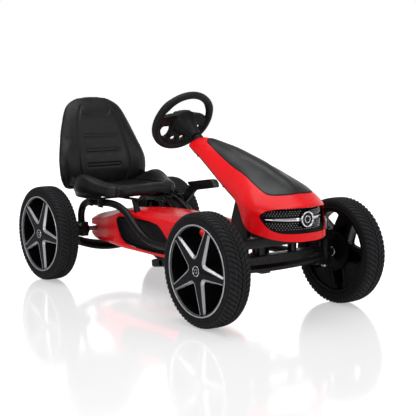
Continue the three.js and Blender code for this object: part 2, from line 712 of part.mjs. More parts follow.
// Seat base, station by station: x, half width, height of the side wing, height of the middle.
const BASE = [
  [-468, 132, 318, 314], [-446, 148, 336, 312], [-420, 158, 351, 311], [-395, 164, 359, 311],
  [-365, 165, 359, 312], [-330, 161, 350, 313], [-296, 155, 340, 314], [-264, 147, 334, 316],
  [-238, 137, 330, 320], [-218, 121, 327, 321], [-206, 97, 318, 313],
];
const PAN = { x0: -460, x1: -240, half: 112, thick: 8 };

function seatBaseCushion() {
  const floor = SEAT_Z + 0.5;
  const rings = BASE.map(([x, w, wing, pan]) => {
    const right = [
      [w * 0.84, floor], [w * 0.98, floor + 7], [w, (floor + wing) / 2],
      [w * 0.93, wing], [w * 0.78, wing - 3], [w * 0.55, pan + 3],
    ];
    const left = right.map(([y, z]) => [-y, z]).reverse();
    return [...right, [0, pan], ...left].map(([y, z]) => [x, y, z]);
  });
  const { x0, x1, half, thick } = PAN;
  const pan = box(x0 - 40, x1 + GAP, -half - GAP, half + GAP, SEAT_Z - 2, SEAT_Z + thick + GAP);
  return loft(rings).subtract(pan);
}

// Pan under the cushion with two straps back to the shell of the backrest.
function seatBasePan() {
  const { x0, x1, half, thick } = PAN;
  const straps = [-90, 90].map((y) => box(-518, x0 + 5, y - 12, y + 12, SEAT_Z, SEAT_Z + thick));
  return box(x0, x1, -half, half, SEAT_Z, SEAT_Z + thick).add(straps[0]).add(straps[1]);
}

// Stations up the backrest: z, x of the side crests, half width, how far the middle dips, thickness.
const BACK = [
  [296, -486, 146, 5, 31], [306, -485, 157, 7, 34], [318, -483, 164, 9, 38], [334, -479, 171, 11, 42],
  [360, -476, 175, 12, 44], [390, -477, 176, 12, 44], [425, -487, 170, 8, 44], [460, -502, 159, 3, 42],
  [500, -518, 146, -2, 40], [540, -533, 130, -6, 37], [570, -546, 114, -8, 32], [590, -556, 94, -6, 26],
  [604, -564, 61, -3, 18], [611, -569, 30, -2, 12],
];
const BACK_SHELL = 9;
const CUSHION_SHARE = 0.78; // of the backrest's thickness

// A ring round the cushion of the backrest.
function backRing([z, x, w, dip, thick]) {
  const side = Math.min(12, thick / 3);
  const half = [[1, side], [0.92, side / 4], [0.8, 0], [0.62, dip * 0.7], [0.38, dip]];
  const right = half.map(([share, depth]) => [x - depth, w * share, z]);
  const left = right.map(([at, y]) => [at, -y, z]).reverse();
  const far = thick * CUSHION_SHARE;
  const rear = [[-0.96, 0.8], [-0.6, 1], [0.6, 1], [0.96, 0.8]];
  const behind = rear.map(([share, depth]) => [x - far * depth, w * share, z - 2]);
  return [...right, [x - dip, 0, z], ...left, ...behind];
}

function seatBackCushion() {
  return loft(BACK.map(backRing));
}

function seatBackShell() {
  const rings = BACK.slice(0, 12).map(([z, x, w, , thick]) => {
    const near = x - thick * CUSHION_SHARE - 0.8;
    const far = near - BACK_SHELL;
    return [
      [near, w * 0.88, z], [near, -w * 0.88, z], [far + 3, -w * 0.84, z],
      [far, -w * 0.6, z], [far, w * 0.6, z], [far + 3, w * 0.84, z],
    ];
  });
  return loft(rings);
}

// ---- Hand brake ----
const BRAKE_PIN = 16; // above the pivot
const BRAKE_ROD_Y = [163, 173];
const DRUM_R = 28;
const DRUM_Y = [160, 178];

function brakeBracket() {
  const outline = [
    [BRAKE_X - 22, 284], [BRAKE_X - 26, 268], [BRAKE_X - 20, 244], [BRAKE_X + 16, 240],
    [BRAKE_X + 20, 262], [BRAKE_X + 10, 276], [BRAKE_X - 4, 284],
  ];
  const cheek = sidePlate(outline, TUBE_Y + TUBE_R + 1, TUBE_Y + TUBE_R + 6);
  return cheek.add(crossRod(BRAKE_X, BRAKE_Z, TUBE_Y + TUBE_R + 2, BRAKE_Y + 8, 6, 20));
}

// Outlines in X and Z, measured from the brake's pivot.
const fromPivot = (outline) => outline.map(([x, z]) => [BRAKE_X + x, BRAKE_Z + z]);
const LEVER_ARM = fromPivot([
  [-12, 4], [10, -10], [52, 24], [68, 38], [108, 56], [108, 66], [46, 58], [28, 46],
]);
const LEVER_Y = [143, 153];

// Arm up from the pivot into the grip, with the pin that pushes the brake rod.
function brakeLever() {
  const [y0, y1] = LEVER_Y;
  const arm = sidePlate(LEVER_ARM, y0, y1);
  const boss = crossRod(BRAKE_X, BRAKE_Z, y0, y1, 14, 20);
  const finger = box(BRAKE_X - 8, BRAKE_X + 8, y0, y1, BRAKE_Z + 4, BRAKE_Z + BRAKE_PIN + 7);
  const pin = crossRod(BRAKE_X, BRAKE_Z + BRAKE_PIN, y0, BRAKE_ROD_Y[1] + 3, 4, 16);
  const bore = crossRod(BRAKE_X, BRAKE_Z, y0 - 10, y1 + 10, 6.6, 20);
  return arm.add(boss).add(finger).add(pin).subtract(bore);
}

function brakeGrip() {
  const outline = fromPivot([
    [35, 68], [98, 77], [156, 85], [172, 82], [182, 72], [186, 58], [118, 47], [62, 39],
  ]);
  const pocket = fromPivot([
    [-22, 18], [58, 18], [72, 36], [109.5, 54.5], [109.5, 67.5], [46, 59.5], [-22, 60],
  ]);
  const [y0, y1] = LEVER_Y;
  return sidePlate(outline, y0 - 7, y1 + 7).subtract(sidePlate(pocket, y0 - GAP, y1 + GAP));
}

// Push rod with a slotted eye at the lever and the brake shoe in front of the drum.
function brakeRod() {
  const pinZ = BRAKE_Z + BRAKE_PIN;
  const [y0, y1] = BRAKE_ROD_Y;
  const eye = box(BRAKE_X - 18, BRAKE_X + 12, y0, y1, BRAKE_Z + 2, BRAKE_Z + 28);
  const slot = box(BRAKE_X - 4.8, BRAKE_X + 4.8, y0 - 5, y1 + 5, pinZ - 8, pinZ + 5.5);
  const barEnds = [[BRAKE_X - 16, BRAKE_Z + 4], [BRAKE_X - 16, BRAKE_Z + 14], [-392, 176], [-398, 168]];
  const bar = sidePlate(barEnds, y0 + 1, y1 - 1);
  const reach = DRUM_R + 8;
  const near = -AXLE_X + reach;
  const shoe = box(near, near + 24, DRUM_Y[0] + 1, DRUM_Y[1] - 1, AXLE_Z - 15, AXLE_Z + 22);
  return bar.add(eye).add(shoe).subtract(slot);
}

function brakeDrum() {
  const drum = crossRod(-AXLE_X, AXLE_Z, ...DRUM_Y, DRUM_R, 24);
  return drum.subtract(crossRod(-AXLE_X, AXLE_Z, 100, 240, SHAFT_R + GAP));
}

// ---- Rear axle ----
const AXLE_END = WHEEL_Y + 23;

function rearAxle() {
  return crossRod(-AXLE_X, AXLE_Z, -AXLE_END, AXLE_END, SHAFT_R);
}

// ---- The kart, piece by piece ----
piece("main_beam", blackSteel, mainBeam());
piece("side_tube_right", blackSteel, sideTube(-1));
piece("side_tube_left", blackSteel, sideTube(1));
piece("front_beam", blackSteel, frontBeam());
piece("front_crossmember", blackSteel, frontCrossmember());
piece("kingpin_right", zinc, kingpin(-1));
piece("kingpin_left", zinc, kingpin(1));
piece("rear_beam", blackSteel, rearBeam());
piece("rear_bearing_right", blackSteel, rearBearing(-1));
piece("rear_bearing_left", blackSteel, rearBearing(1));
piece("crank_bracket", blackSteel, crankBracket());
piece("steering_head", blackSteel, steeringHead());
piece("column_sleeve", blackPlastic, columnSleeve());
piece("nose_fairing", redShell, noseFairing());
piece("hood_insert", greyPlastic, hoodInsert());
piece("grille", blackPlastic, grille());
piece("grille_bar", chrome, grilleBar());
piece("badge", chrome, badge());
piece("body_cowl", redShell, bodyCowl());
piece("side_panel_right", blackPlastic, sidePanel(-1));
piece("side_panel_left", blackPlastic, sidePanel(1));
piece("chain", zinc, chain());

piece("rear_axle", zinc, rearAxle());
piece("axle_sprocket", zinc, sprocket(-AXLE_X, AXLE_Z, AXLE_SPROCKET_R, 14));
piece("brake_drum", zinc, brakeDrum());
addWheel("rear_right", -AXLE_X, -1, SHAFT_R + GAP);
addWheel("rear_left", -AXLE_X, 1, BORE_R);

piece("crank_spindle", zinc, crankSpindle());
piece("chain_wheel", zinc, sprocket(CRANK_X, CRANK_Z, CHAIN_WHEEL_R, 16));
piece("crank_arm_right", blackSteel, crankArm(-1));
piece("crank_arm_left", blackSteel, crankArm(1));
piece("pedal_right", blackPlastic, pedal(-1, RIGHT_PEDAL_TILT));
piece("pedal_left", blackPlastic, pedal(1, LEFT_PEDAL_TILT));

piece("steering_rim", rubber, steeringRim());
piece("steering_spokes", blackPlastic, steeringSpokes());
piece("steering_pad", blackPlastic, steeringPad());
piece("steering_cone", greyPlastic, steeringCone());
piece("steering_shaft", zinc, steeringShaft());
piece("track_rod", blackSteel, trackRod());
piece("knuckle_right", blackSteel, knuckle(-1));
piece("knuckle_left", blackSteel, knuckle(1));
addWheel("front_right", AXLE_X, -1, BORE_R);
addWheel("front_left", AXLE_X, 1, BORE_R);

piece("seat_frame", blackSteel, seatFrame());
piece("seat_base_pan", blackPlastic, seatBasePan());
piece("seat_base_cushion", leather, seatBaseCushion());
piece("seat_back_shell", blackPlastic, seatBackShell());
piece("seat_back_cushion", leather, seatBackCushion());

piece("brake_bracket", blackSteel, brakeBracket());
piece("brake_lever", blackSteel, brakeLever());
piece("brake_grip", blackPlastic, brakeGrip());
piece("brake_rod", blackSteel, brakeRod());

export default kart;
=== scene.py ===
"""Looks of the pedal go kart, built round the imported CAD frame.

Lengths are millimetres in the frame's axes (+X forward, +Y to the rider's left, +Z up)
until make() turns them into metres. A wheel's own frame has its middle at the origin and +Y outwards.
"""
import math
import bmesh
import bpy
from mathutils import Matrix, Quaternion, Vector
from mathutils.bvhtree import BVHTree
from mathutils.kdtree import KDTree
from mathutils.geometry import tessellate_polygon
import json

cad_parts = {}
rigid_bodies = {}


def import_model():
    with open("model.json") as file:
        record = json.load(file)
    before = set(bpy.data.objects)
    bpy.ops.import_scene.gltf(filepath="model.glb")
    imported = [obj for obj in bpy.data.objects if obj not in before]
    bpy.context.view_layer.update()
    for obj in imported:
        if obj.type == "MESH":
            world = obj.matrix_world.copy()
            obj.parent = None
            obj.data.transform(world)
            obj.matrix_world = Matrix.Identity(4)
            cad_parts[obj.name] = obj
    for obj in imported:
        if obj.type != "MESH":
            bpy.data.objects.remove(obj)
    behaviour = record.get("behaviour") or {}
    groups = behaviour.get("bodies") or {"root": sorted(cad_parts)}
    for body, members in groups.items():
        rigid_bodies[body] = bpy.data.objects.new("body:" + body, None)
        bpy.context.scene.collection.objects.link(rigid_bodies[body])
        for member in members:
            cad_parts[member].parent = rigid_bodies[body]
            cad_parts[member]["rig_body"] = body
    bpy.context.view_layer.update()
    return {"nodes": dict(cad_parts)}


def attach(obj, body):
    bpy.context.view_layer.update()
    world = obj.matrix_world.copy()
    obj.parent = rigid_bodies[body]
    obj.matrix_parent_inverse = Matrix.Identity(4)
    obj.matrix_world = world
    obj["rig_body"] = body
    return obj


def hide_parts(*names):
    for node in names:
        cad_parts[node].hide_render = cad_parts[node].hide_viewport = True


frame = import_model()
MM = 0.001


# ---- Shapes in mesh code ----
class Shape:
    """Vertices and faces, in millimetres."""

    def __init__(self, verts, faces):
        self.verts = [Vector(v) for v in verts]
        self.faces = list(faces)

    def moved(self, matrix):
        return Shape([matrix @ v for v in self.verts], self.faces)

    def mapped(self, function):
        return Shape([function(v) for v in self.verts], self.faces)

    def mirrored(self):
        return Shape([(v.x, -v.y, v.z) for v in self.verts], [f[::-1] for f in self.faces])


def merge(*shapes):
    verts, faces = [], []
    for shape in shapes:
        start = len(verts)
        verts += shape.verts
        faces += [tuple(i + start for i in f) for f in shape.faces]
    return Shape(verts, faces)


def loft(rings, closed=True, capped=True, looped=False):
    """A skin through rings of points; looped joins the last ring to the first."""
    n = len(rings[0])
    count = len(rings)
    faces = []
    for i in range(count if looped else count - 1):
        for j in range(n if closed else n - 1):
            a, b = i * n + j, i * n + (j + 1) % n
            c, d = (a + n) % (n * count), (b + n) % (n * count)
            faces.append((a, b, d, c))
    if capped and not looped:
        faces += [tuple(range(n))[::-1], tuple(range(n * (count - 1), n * count))]
    return Shape([p for ring in rings for p in ring], faces)


def frame_of(axis):
    """Two unit vectors square to an axis and to each other."""
    axis = Vector(axis).normalized()
    side = axis.cross(Vector((0, 0, 1) if abs(axis.z) < 0.9 else (1, 0, 0))).normalized()
    return side, axis.cross(side)


def lathe(profile, origin=(0, 0, 0), axis=(0, 1, 0), sides=48):
    """A profile of (radius, distance along the axis) turned right round."""
    axis, origin = Vector(axis).normalized(), Vector(origin)
    side, up = frame_of(axis)
    turns = [2 * math.pi * k / sides for k in range(sides)]
    spokes = [side * math.cos(t) + up * math.sin(t) for t in turns]
    rings = [[origin + axis * h + spoke * r for spoke in spokes] for r, h in profile]
    looped = profile[0] != profile[-1] and profile[0][0] > 0 and profile[-1][0] > 0
    return loft(rings, capped=False, looped=looped)


def bar(start, end, radius, sides=24, edge=1.0):
    """A round bar between two points with eased ends."""
    start, end = Vector(start), Vector(end)
    length = (end - start).length
    half = [(0, 0), (radius - edge, 0), (radius, edge)]
    profile = half + [(r, length - h) for r, h in reversed(half)]
    return lathe(profile, start, end - start, sides)


def tube(points, radius, sides=16, closed=False):
    """A round tube along points; the radius may be a list."""
    points = [Vector(p) for p in points]
    n = len(points)
    radii = radius if isinstance(radius, list) else [radius] * n
    side = None
    rings = []
    for i, p in enumerate(points):
        before = points[(i - 1) % n] if closed or i > 0 else p
        after = points[(i + 1) % n] if closed or i < n - 1 else p
        along = (after - before).normalized()
        side = frame_of(along)[0] if side is None else (side - along * side.dot(along)).normalized()
        up = along.cross(side)
        turns = [2 * math.pi * k / sides for k in range(sides)]
        rings.append([p + (side * math.cos(t) + up * math.sin(t)) * radii[i] for t in turns])
    return loft(rings, looped=closed)


def block(x0, x1, y0, y1, z0, z1):
    base = [(x0, y0), (x1, y0), (x1, y1), (x0, y1)]
    return loft([[(x, y, z) for x, y in base] for z in (z0, z1)])


def prism(outline, low, high, place, holes=()):
    """An outline with holes, extruded; place(a, b, height) gives each point."""
    loops = [outline, *holes]
    flat = [Vector((a, b, 0)) for loop in loops for a, b in loop]
    triangles = tessellate_polygon([[Vector((a, b, 0)) for a, b in loop] for loop in loops])
    n = len(flat)
    verts = [place(v.x, v.y, h) for h in (low, high) for v in flat]
    faces = [tuple(t)[::-1] for t in triangles] + [tuple(i + n for i in t) for t in triangles]
    start = 0
    for loop in loops:
        for j in range(len(loop)):
            a, b = start + j, start + (j + 1) % len(loop)
            faces.append((a, b, b + n, a + n))
        start += len(loop)
    return Shape(verts, faces)


def across(x, z, y):
    """Places an outline in X and Z, extruded across the kart."""
    return (x, y, z)


def along_x(y, z, x):
    """Places an outline in Y and Z, extruded along the kart."""
    return (x, y, z)


def upright(x, y, z):
    """Places an outline in X and Y, extruded upwards."""
    return (x, y, z)


# ---- Curves ----
def hermite(t):
    """The weights of a cubic's two ends and two slopes: first point, first slope, last point, last slope."""
    return 2 * t ** 3 - 3 * t ** 2 + 1, t ** 3 - 2 * t ** 2 + t, 3 * t ** 2 - 2 * t ** 3, t ** 3 - t ** 2


def spline(points, steps, closed=False):
    """A centripetal Catmull-Rom curve, with `steps` points to a span."""
    points = [Vector(p) for p in points]
    n = len(points)
    out = []
    for i in range(n if closed else n - 1):
        p1, p2 = points[i], points[(i + 1) % n]
        p0 = points[i - 1] if closed or i > 0 else 2 * p1 - p2
        p3 = points[(i + 2) % n] if closed or i < n - 2 else 2 * p2 - p1
        d01, d12, d23 = [max(v.length, 1e-6) ** 0.5 for v in (p1 - p0, p2 - p1, p3 - p2)]
        m1 = (p2 - p1) + d12 * ((p1 - p0) / d01 - (p2 - p0) / (d01 + d12))
        m2 = (p2 - p1) + d12 * ((p3 - p2) / d23 - (p3 - p1) / (d12 + d23))
        for k in range(steps):
            a, b, c, d = hermite(k / steps)
            out.append(a * p1 + b * m1 + c * p2 + d * m2)
    return out if closed else out + [points[-1]]


def flat_spline(points, steps, closed=True):
    return [(p.x, p.y) for p in spline([(a, b, 0) for a, b in points], steps, closed)]


def fillet(before, corner, after, radius, steps, share=0.49):
    """The points of an eased corner, which takes up at most `share` of the side before and after it."""
    corner = Vector(corner)
    back, ahead = Vector(before) - corner, Vector(after) - corner
    reach = min(radius / math.tan(back.angle(ahead) / 2), share * back.length, share * ahead.length)
    start, end = corner + back.normalized() * reach, corner + ahead.normalized() * reach
    return [tuple(start * (1 - t) ** 2 + corner * 2 * t * (1 - t) + end * t ** 2)
            for t in [k / steps for k in range(steps + 1)]]


def rounded(outline, radii, steps=6):
    """An outline with each corner filleted; one radius, or one for each corner."""
    n = len(outline)
    radii = radii if isinstance(radii, (list, tuple)) else [radii] * n
    corners = [fillet(outline[i - 1], outline[i], outline[(i + 1) % n], radii[i], steps) for i in range(n)]
    return [p for corner in corners for p in corner]


def grown(outline, distance):
    """An outline with every point moved outwards; distance is a number or a function of the point."""
    area = sum(a[0] * b[1] - b[0] * a[1] for a, b in zip(outline, outline[1:] + outline[:1]))
    sign = 1 if area > 0 else -1
    out = []
    for i, (x, y) in enumerate(outline):
        before, after = Vector(outline[i - 1]), Vector(outline[(i + 1) % len(outline)])
        along = (after - before).normalized()
        d = distance(x, y) if callable(distance) else distance
        out.append((x + along.y * d * sign, y - along.x * d * sign))
    return out


def inside(outline, a, b):
    """Whether the point a, b is inside the outline."""
    hit = False
    for (x0, y0), (x1, y1) in zip(outline, outline[1:] + outline[:1]):
        if (y0 > b) != (y1 > b) and a < x0 + (x1 - x0) * (b - y0) / (y1 - y0):
            hit = not hit
    return hit


def smoothstep(low, high, value):
    t = min(max((value - low) / (high - low), 0), 1)
    return t * t * (3 - 2 * t)


def circle(radius, count=96):
    turns = [2 * math.pi * k / count for k in range(count)]
    return [(radius * math.cos(t), radius * math.sin(t)) for t in turns]


# ---- Materials ----
def linear(code):
    """A #rrggbb code as a linear colour."""
    parts = [int(code[i:i + 2], 16) / 255 for i in (1, 3, 5)]
    return [c / 12.92 if c <= 0.04045 else ((c + 0.055) / 1.055) ** 2.4 for c in parts] + [1.0]


def level(tree, value, low, high, first, last):
    """Maps a value from low..high to first..last, each of which may be a number or a socket."""
    ranged = tree.nodes.new("ShaderNodeMapRange")
    for key, number in zip(("From Min", "From Max", "To Min", "To Max"), (low, high, first, last)):
        if isinstance(number, (int, float)):
            ranged.inputs[key].default_value = number
        else:
            tree.links.new(number, ranged.inputs[key])
    tree.links.new(value, ranged.inputs["Value"])
    return ranged.outputs["Result"]


def material(name, code, roughness, metallic=0.0, shade=0.12, patch=9, grain=(900, 0.08), cells=None,
             wear=None, coat=0.0, specular=0.5, gloss_range=0.08):
    """A procedural finish: shade varies by `shade` over patches, the surface has a fine grain of
    (scale, strength) and leather cells, and convex edges wear towards the colour `wear`."""
    made = bpy.data.materials.new(name)
    made.use_nodes = True
    tree = made.node_tree
    nodes, links = tree.nodes, tree.links
    shader = nodes["Principled BSDF"]
    constants = {"Metallic": metallic, "Coat Weight": coat, "Coat Roughness": 0.1,
                 "Specular IOR Level": specular}
    for key, number in constants.items():
        shader.inputs[key].default_value = number
    place = nodes.new("ShaderNodeTexCoord").outputs["Object"]

    def noise_at(scale, detail):
        texture = nodes.new("ShaderNodeTexNoise")
        texture.inputs["Scale"].default_value = scale
        texture.inputs["Detail"].default_value = detail
        links.new(place, texture.inputs["Vector"])
        return texture.outputs["Fac"]

    def mix(share, first, second):
        mixer = nodes.new("ShaderNodeMix")
        mixer.data_type = "RGBA"
        links.new(share, mixer.inputs["Factor"])
        for key, colour in (("A", first), ("B", second)):
            socket = [s for s in mixer.inputs if s.name == key and s.type == "RGBA"][0]
            if isinstance(colour, list):
                socket.default_value = colour
            else:
                links.new(colour, socket)
        return [s for s in mixer.outputs if s.type == "RGBA"][0]

    base = linear(code)
    dark = [c * (1 - shade) for c in base[:3]] + [1.0]
    light = [min(c * (1 + shade), 1) for c in base[:3]] + [1.0]
    patches = noise_at(patch, 4)
    colour = mix(level(tree, patches, 0.3, 0.7, 0, 1), dark, light)
    if wear:
        edges = nodes.new("ShaderNodeNewGeometry").outputs["Pointiness"]
        colour = mix(level(tree, edges, 0.53, 0.62, 0, 0.6), colour, linear(wear))
    links.new(colour, shader.inputs["Base Color"])
    fine = noise_at(patch * 5, 5)
    low, high = max(roughness - gloss_range, 0.03), min(roughness + gloss_range, 1)
    links.new(level(tree, fine, 0.3, 0.7, low, high), shader.inputs["Roughness"])
    height = noise_at(grain[0], 2)
    if cells:
        pores = nodes.new("ShaderNodeTexVoronoi")
        pores.feature = "DISTANCE_TO_EDGE"
        pores.inputs["Scale"].default_value = cells
        links.new(place, pores.inputs["Vector"])
        height = mix(level(tree, pores.outputs["Distance"], 0, 0.12, 0, 1), linear("#000000"), height)
    bump = nodes.new("ShaderNodeBump")
    bump.inputs["Strength"].default_value = grain[1]
    bump.inputs["Distance"].default_value = 0.001
    links.new(height, bump.inputs["Height"])
    links.new(bump.outputs["Normal"], shader.inputs["Normal"])
    return made


PAINT = material("frame_paint", "#080809", 0.32, shade=0.2, grain=(520, 0.12), wear="#1d1d20", specular=0.2)
STEEL = material("bright_steel", "#a5a6aa", 0.32, 1.0, patch=30)
RED = material("red_shell", "#d20812", 0.3, shade=0.05, grain=(350, 0.03), coat=0.08, specular=0.18,
               gloss_range=0.04)
GREY = material("dark_grey_panel", "#141517", 0.34, shade=0.08, grain=(1300, 0.08), specular=0.35,
                gloss_range=0.05)
PLASTIC = material("black_plastic", "#08080a", 0.46, shade=0.15, grain=(1100, 0.3), wear="#1c1c1f",
                   specular=0.18)
CHROME = material("bright_trim", "#dcdcdf", 0.16, 1.0, shade=0.04, patch=25, grain=(500, 0.03),
                  gloss_range=0.05)
SILVER = material("wheel_trim", "#b4b5b9", 0.36, 0.85, shade=0.05, patch=25, grain=(900, 0.06))
RIM = material("wheel_rim", "#040405", 0.3, shade=0.15, wear="#0f0f11", specular=0.1)
RUBBER = material("tyre_tread", "#08080a", 0.6, shade=0.22, grain=(900, 0.35), wear="#303033", specular=0.16)
GRIP = material("steering_grip", "#0c0c0d", 0.5, shade=0.15, grain=(1500, 0.3), cells=420, specular=0.22)
LEATHER = material("seat_leather", "#0a0a0b", 0.36, grain=(1400, 0.2), cells=330, specular=0.26)
THREAD = material("seat_thread", "#1f1f21", 0.7, shade=0.15, patch=60, grain=(2500, 0.4), specular=0.2)


# ---- Pieces ----
SIDES = (("right", -1), ("left", 1))
BEVELLED_SHARP = 60  # degrees at which an edge stays sharp after bevelling


def edited(mesh, change):
    """Runs a change on a mesh's bmesh."""
    work = bmesh.new()
    work.from_mesh(mesh)
    change(work)
    work.to_mesh(mesh)
    work.free()


def mesh_of(name, shape, finish, away_from=None):
    """A mesh in metres; an open skin faces away from the point `away_from`."""
    mesh = bpy.data.meshes.new(name)
    mesh.from_pydata([v * MM for v in shape.verts], [], shape.faces)

    def orient(work):
        bmesh.ops.remove_doubles(work, verts=work.verts, dist=1e-6)
        bmesh.ops.recalc_face_normals(work, faces=work.faces)
        if away_from is not None:
            middle = Vector(away_from) * MM
            if sum((f.calc_center_median() - middle).dot(f.normal) * f.calc_area() for f in work.faces) < 0:
                bmesh.ops.reverse_faces(work, faces=work.faces)

    edited(mesh, orient)
    mesh.materials.append(finish)
    return mesh


def linked(name, data):
    """A new object in the scene."""
    obj = bpy.data.objects.new(name, data)
    bpy.context.scene.collection.objects.link(obj)
    return obj


def applied(obj):
    """Replaces an object's mesh by its shape with all modifiers applied."""
    bpy.context.view_layer.update()
    result = bpy.data.meshes.new_from_object(obj.evaluated_get(bpy.context.evaluated_depsgraph_get()))
    obj.modifiers.clear()
    old, obj.data = obj.data, result
    bpy.data.meshes.remove(old)


def dressed(obj, body, nodes, bevel, sharp):
    """Eases an object's edges, shades it and hangs it on its body."""
    if bevel:
        rounding = obj.modifiers.new("edges", "BEVEL")
        rounding.width = bevel * MM
        rounding.segments = 2
        rounding.limit_method = "ANGLE"
        rounding.angle_limit = math.radians(sharp)
        applied(obj)
        sharp = BEVELLED_SHARP
    obj.data.shade_smooth()
    obj.data.set_sharp_from_angle(angle=math.radians(sharp))
    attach(obj, body)
    if nodes:
        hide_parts(*([nodes] if isinstance(nodes, str) else nodes))
    return obj


def make(name, shape, finish, body, nodes=None, bevel=0.0, sharp=35):
    """A piece from a shape, with the CAD nodes that it stands for."""
    return dressed(linked(name, mesh_of(name, shape, finish)), body, nodes, bevel, sharp)


def refined(node, finish, bevel=1.2, sharp=28):
    """A piece with the shape of a CAD node and eased edges, in place of that node."""
    source = frame["nodes"][node]
    mesh = source.data.copy()

    def simplify(work):
        bmesh.ops.remove_doubles(work, verts=work.verts, dist=2e-5)
        bmesh.ops.dissolve_limit(work, angle_limit=math.radians(1.5), verts=work.verts, edges=work.edges)

    edited(mesh, simplify)
    mesh.materials.clear()
    mesh.materials.append(finish)
    return dressed(linked(node + "_piece", mesh), source["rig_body"], node, bevel, sharp)


def cut(obj, *shapes):
    """Takes shapes out of an object's mesh."""
    for shape in shapes:
        cutter = linked("cutter", mesh_of("cutter", shape, obj.data.materials[0]))
        taking = obj.modifiers.new("cut", "BOOLEAN")
        taking.operation = "DIFFERENCE"
        taking.solver = "EXACT"
        taking.object = cutter
        applied(obj)
        bpy.data.objects.remove(cutter)

    def clean(work):
        bmesh.ops.remove_doubles(work, verts=work.verts, dist=1.5e-4)
        bmesh.ops.dissolve_degenerate(work, edges=work.edges, dist=1e-4)

    edited(obj.data, clean)


# ---- Wheels ----
AXLE_X, AXLE_Z, WHEEL_Y = 450, 160, 253
WINDOW_ANGLES = [30 + 72 * k for k in range(5)]  # the middles of the openings, from +X towards +Z
WINDOW_REACH = 121.6
PITCHES = 68  # tread blocks round each side of a tyre
BLOCK_DEPTH, BLOCK_EDGE = 3, 0.9


def tread_block(stations, start, span, slant):
    """A tread block through stations of (distance out, top radius); it leans by `slant` degrees."""
    rings = []
    first = stations[0][0]
    reach = stations[-1][0] - first
    for u, top in stations:
        lean = slant * (u - first) / reach
        low, high = math.radians(start + lean), math.radians(start + span + lean)
        ease = 0.12 * (high - low)
        ring = [(top - BLOCK_DEPTH, low), (top - BLOCK_EDGE, low), (top, low + ease),
                (top, high - ease), (top - BLOCK_EDGE, high), (top - BLOCK_DEPTH, high)]
        rings.append([(r * math.cos(t), u, r * math.sin(t)) for r, t in ring])
    return loft(rings)


def tyre_shape():
    half = [(128.6, 29), (129.4, 33.4), (130.6, 34.5), (133, 34.8), (134, 34.2), (136, 34.3), (139, 34.9),
            (142.6, 35), (143.4, 34.5), (147, 34.2), (151.5, 32), (155.4, 28), (157, 22), (157.5, 10),
            (157.5, 0)]
    carcass = lathe(half + [(r, -u) for r, u in half[-2::-1]], sides=112)
    pitch = 360 / PITCHES
    centre = [(2.4, 160), (8, 159.9), (13, 159.7)]
    shoulder = [(15.4, 159.7), (22, 159.2), (27.5, 157.9), (31.4, 155.2), (33.6, 151.6)]
    blocks = []
    for k in range(PITCHES):
        for sign, shift in ((1, 0), (-1, 0.5)):
            inner = [(sign * u, r) for u, r in centre]
            outer = [(sign * u, r) for u, r in shoulder]
            blocks.append(tread_block(inner, (k + shift) * pitch, pitch * 0.7, 4.6))
            blocks.append(tread_block(outer, (k + shift + 0.86) * pitch, pitch * 0.64, 4.2))
    return merge(carcass, *blocks)


def window_outline(inset=0.0):
    """An opening between two spokes, as a rounded triangle; its sides run along the spokes."""
    spread, hub = math.radians(32.4), 27
    turns = [spread * (k / 8 - 1) for k in range(17)]
    arc = [(WINDOW_REACH * math.cos(t), WINDOW_REACH * math.sin(t)) for t in turns]
    outline = rounded([(hub, 0)] + arc, [17] + [7] + [400] * 15 + [7], 6)
    return grown(outline, lambda a, b: -inset * (1 - 0.8 * smoothstep(108, 119, a))) if inset else outline


def face_level(r):
    """How far out the front of the spokes is."""
    return 33.4 - 1.4 * smoothstep(35, 95, r) + 1.2 * smoothstep(100, 121, r)


def on_wheel(a, b, u):
    return (a, u, b)


def turned_outline(outline, degrees):
    c, s = math.cos(math.radians(degrees)), math.sin(math.radians(degrees))
    return [(a * c - b * s, a * s + b * c) for a, b in outline]


def dished(shape):
    """Gives a flat wheel face its slope: u counts back from the face."""
    return shape.mapped(lambda v: (v.x, face_level(math.hypot(v.x, v.z)) + v.y, v.z))


def rim_shape():
    front_holes = [turned_outline(window_outline(), t) for t in WINDOW_ANGLES]
    back_holes = [turned_outline(window_outline(21), t) for t in WINDOW_ANGLES]
    parts = [dished(prism(circle(WINDOW_REACH), -9, 0, on_wheel, front_holes)),
             prism(circle(120.5), -23, -17, on_wheel, back_holes)]
    # The walls of a window: inset, distance out.
    well = [(2, 29), (7, 8), (21.2, -22.8), (8, -22), (0, 8), (0, 26)]
    for t in WINDOW_ANGLES:
        loops = [[on_wheel(a, b, u) for a, b in turned_outline(window_outline(inset), t)]
                 for inset, u in well]
        parts.append(loft(loops, looped=True))
    barrel = [(126.4, 33), (127.4, 34.2), (128.4, 33.6), (128.4, -29), (127, -30.5), (119, -30.5),
              (117.6, -28.5), (118.6, -20), (120.5, 0), (121.4, 30)]
    hub = [(9, -34), (15, -34), (15.4, -32), (16.4, -31.4), (25, -31), (40, -28.5), (55, -27.5), (58.5, -25),
           (58.5, -18), (42, -15), (42, 5), (9, 5)]
    dome = [(0, 33.8), (12, 33.8), (14.6, 34.3), (17, 34.3), (18.5, 33.4), (18.5, 30), (0, 30)]
    ridge = [(55, -25), (55.6, -28.6), (57, -29.4), (59, -28.6), (60, -25), (58, -22)]
    parts += [lathe(profile, sides=72) for profile in (barrel, hub, dome, ridge)]
    return merge(*parts)


def trim_share(a, b, deep):
    """How broad the bevel is: widest by the hub on its deep rows, a mere line along the hoop."""
    near_hub = 1 + 1.6 * (1 - smoothstep(34, 70, a)) * deep
    return near_hub * (1 - 0.85 * smoothstep(117, 120, math.hypot(a, b)))


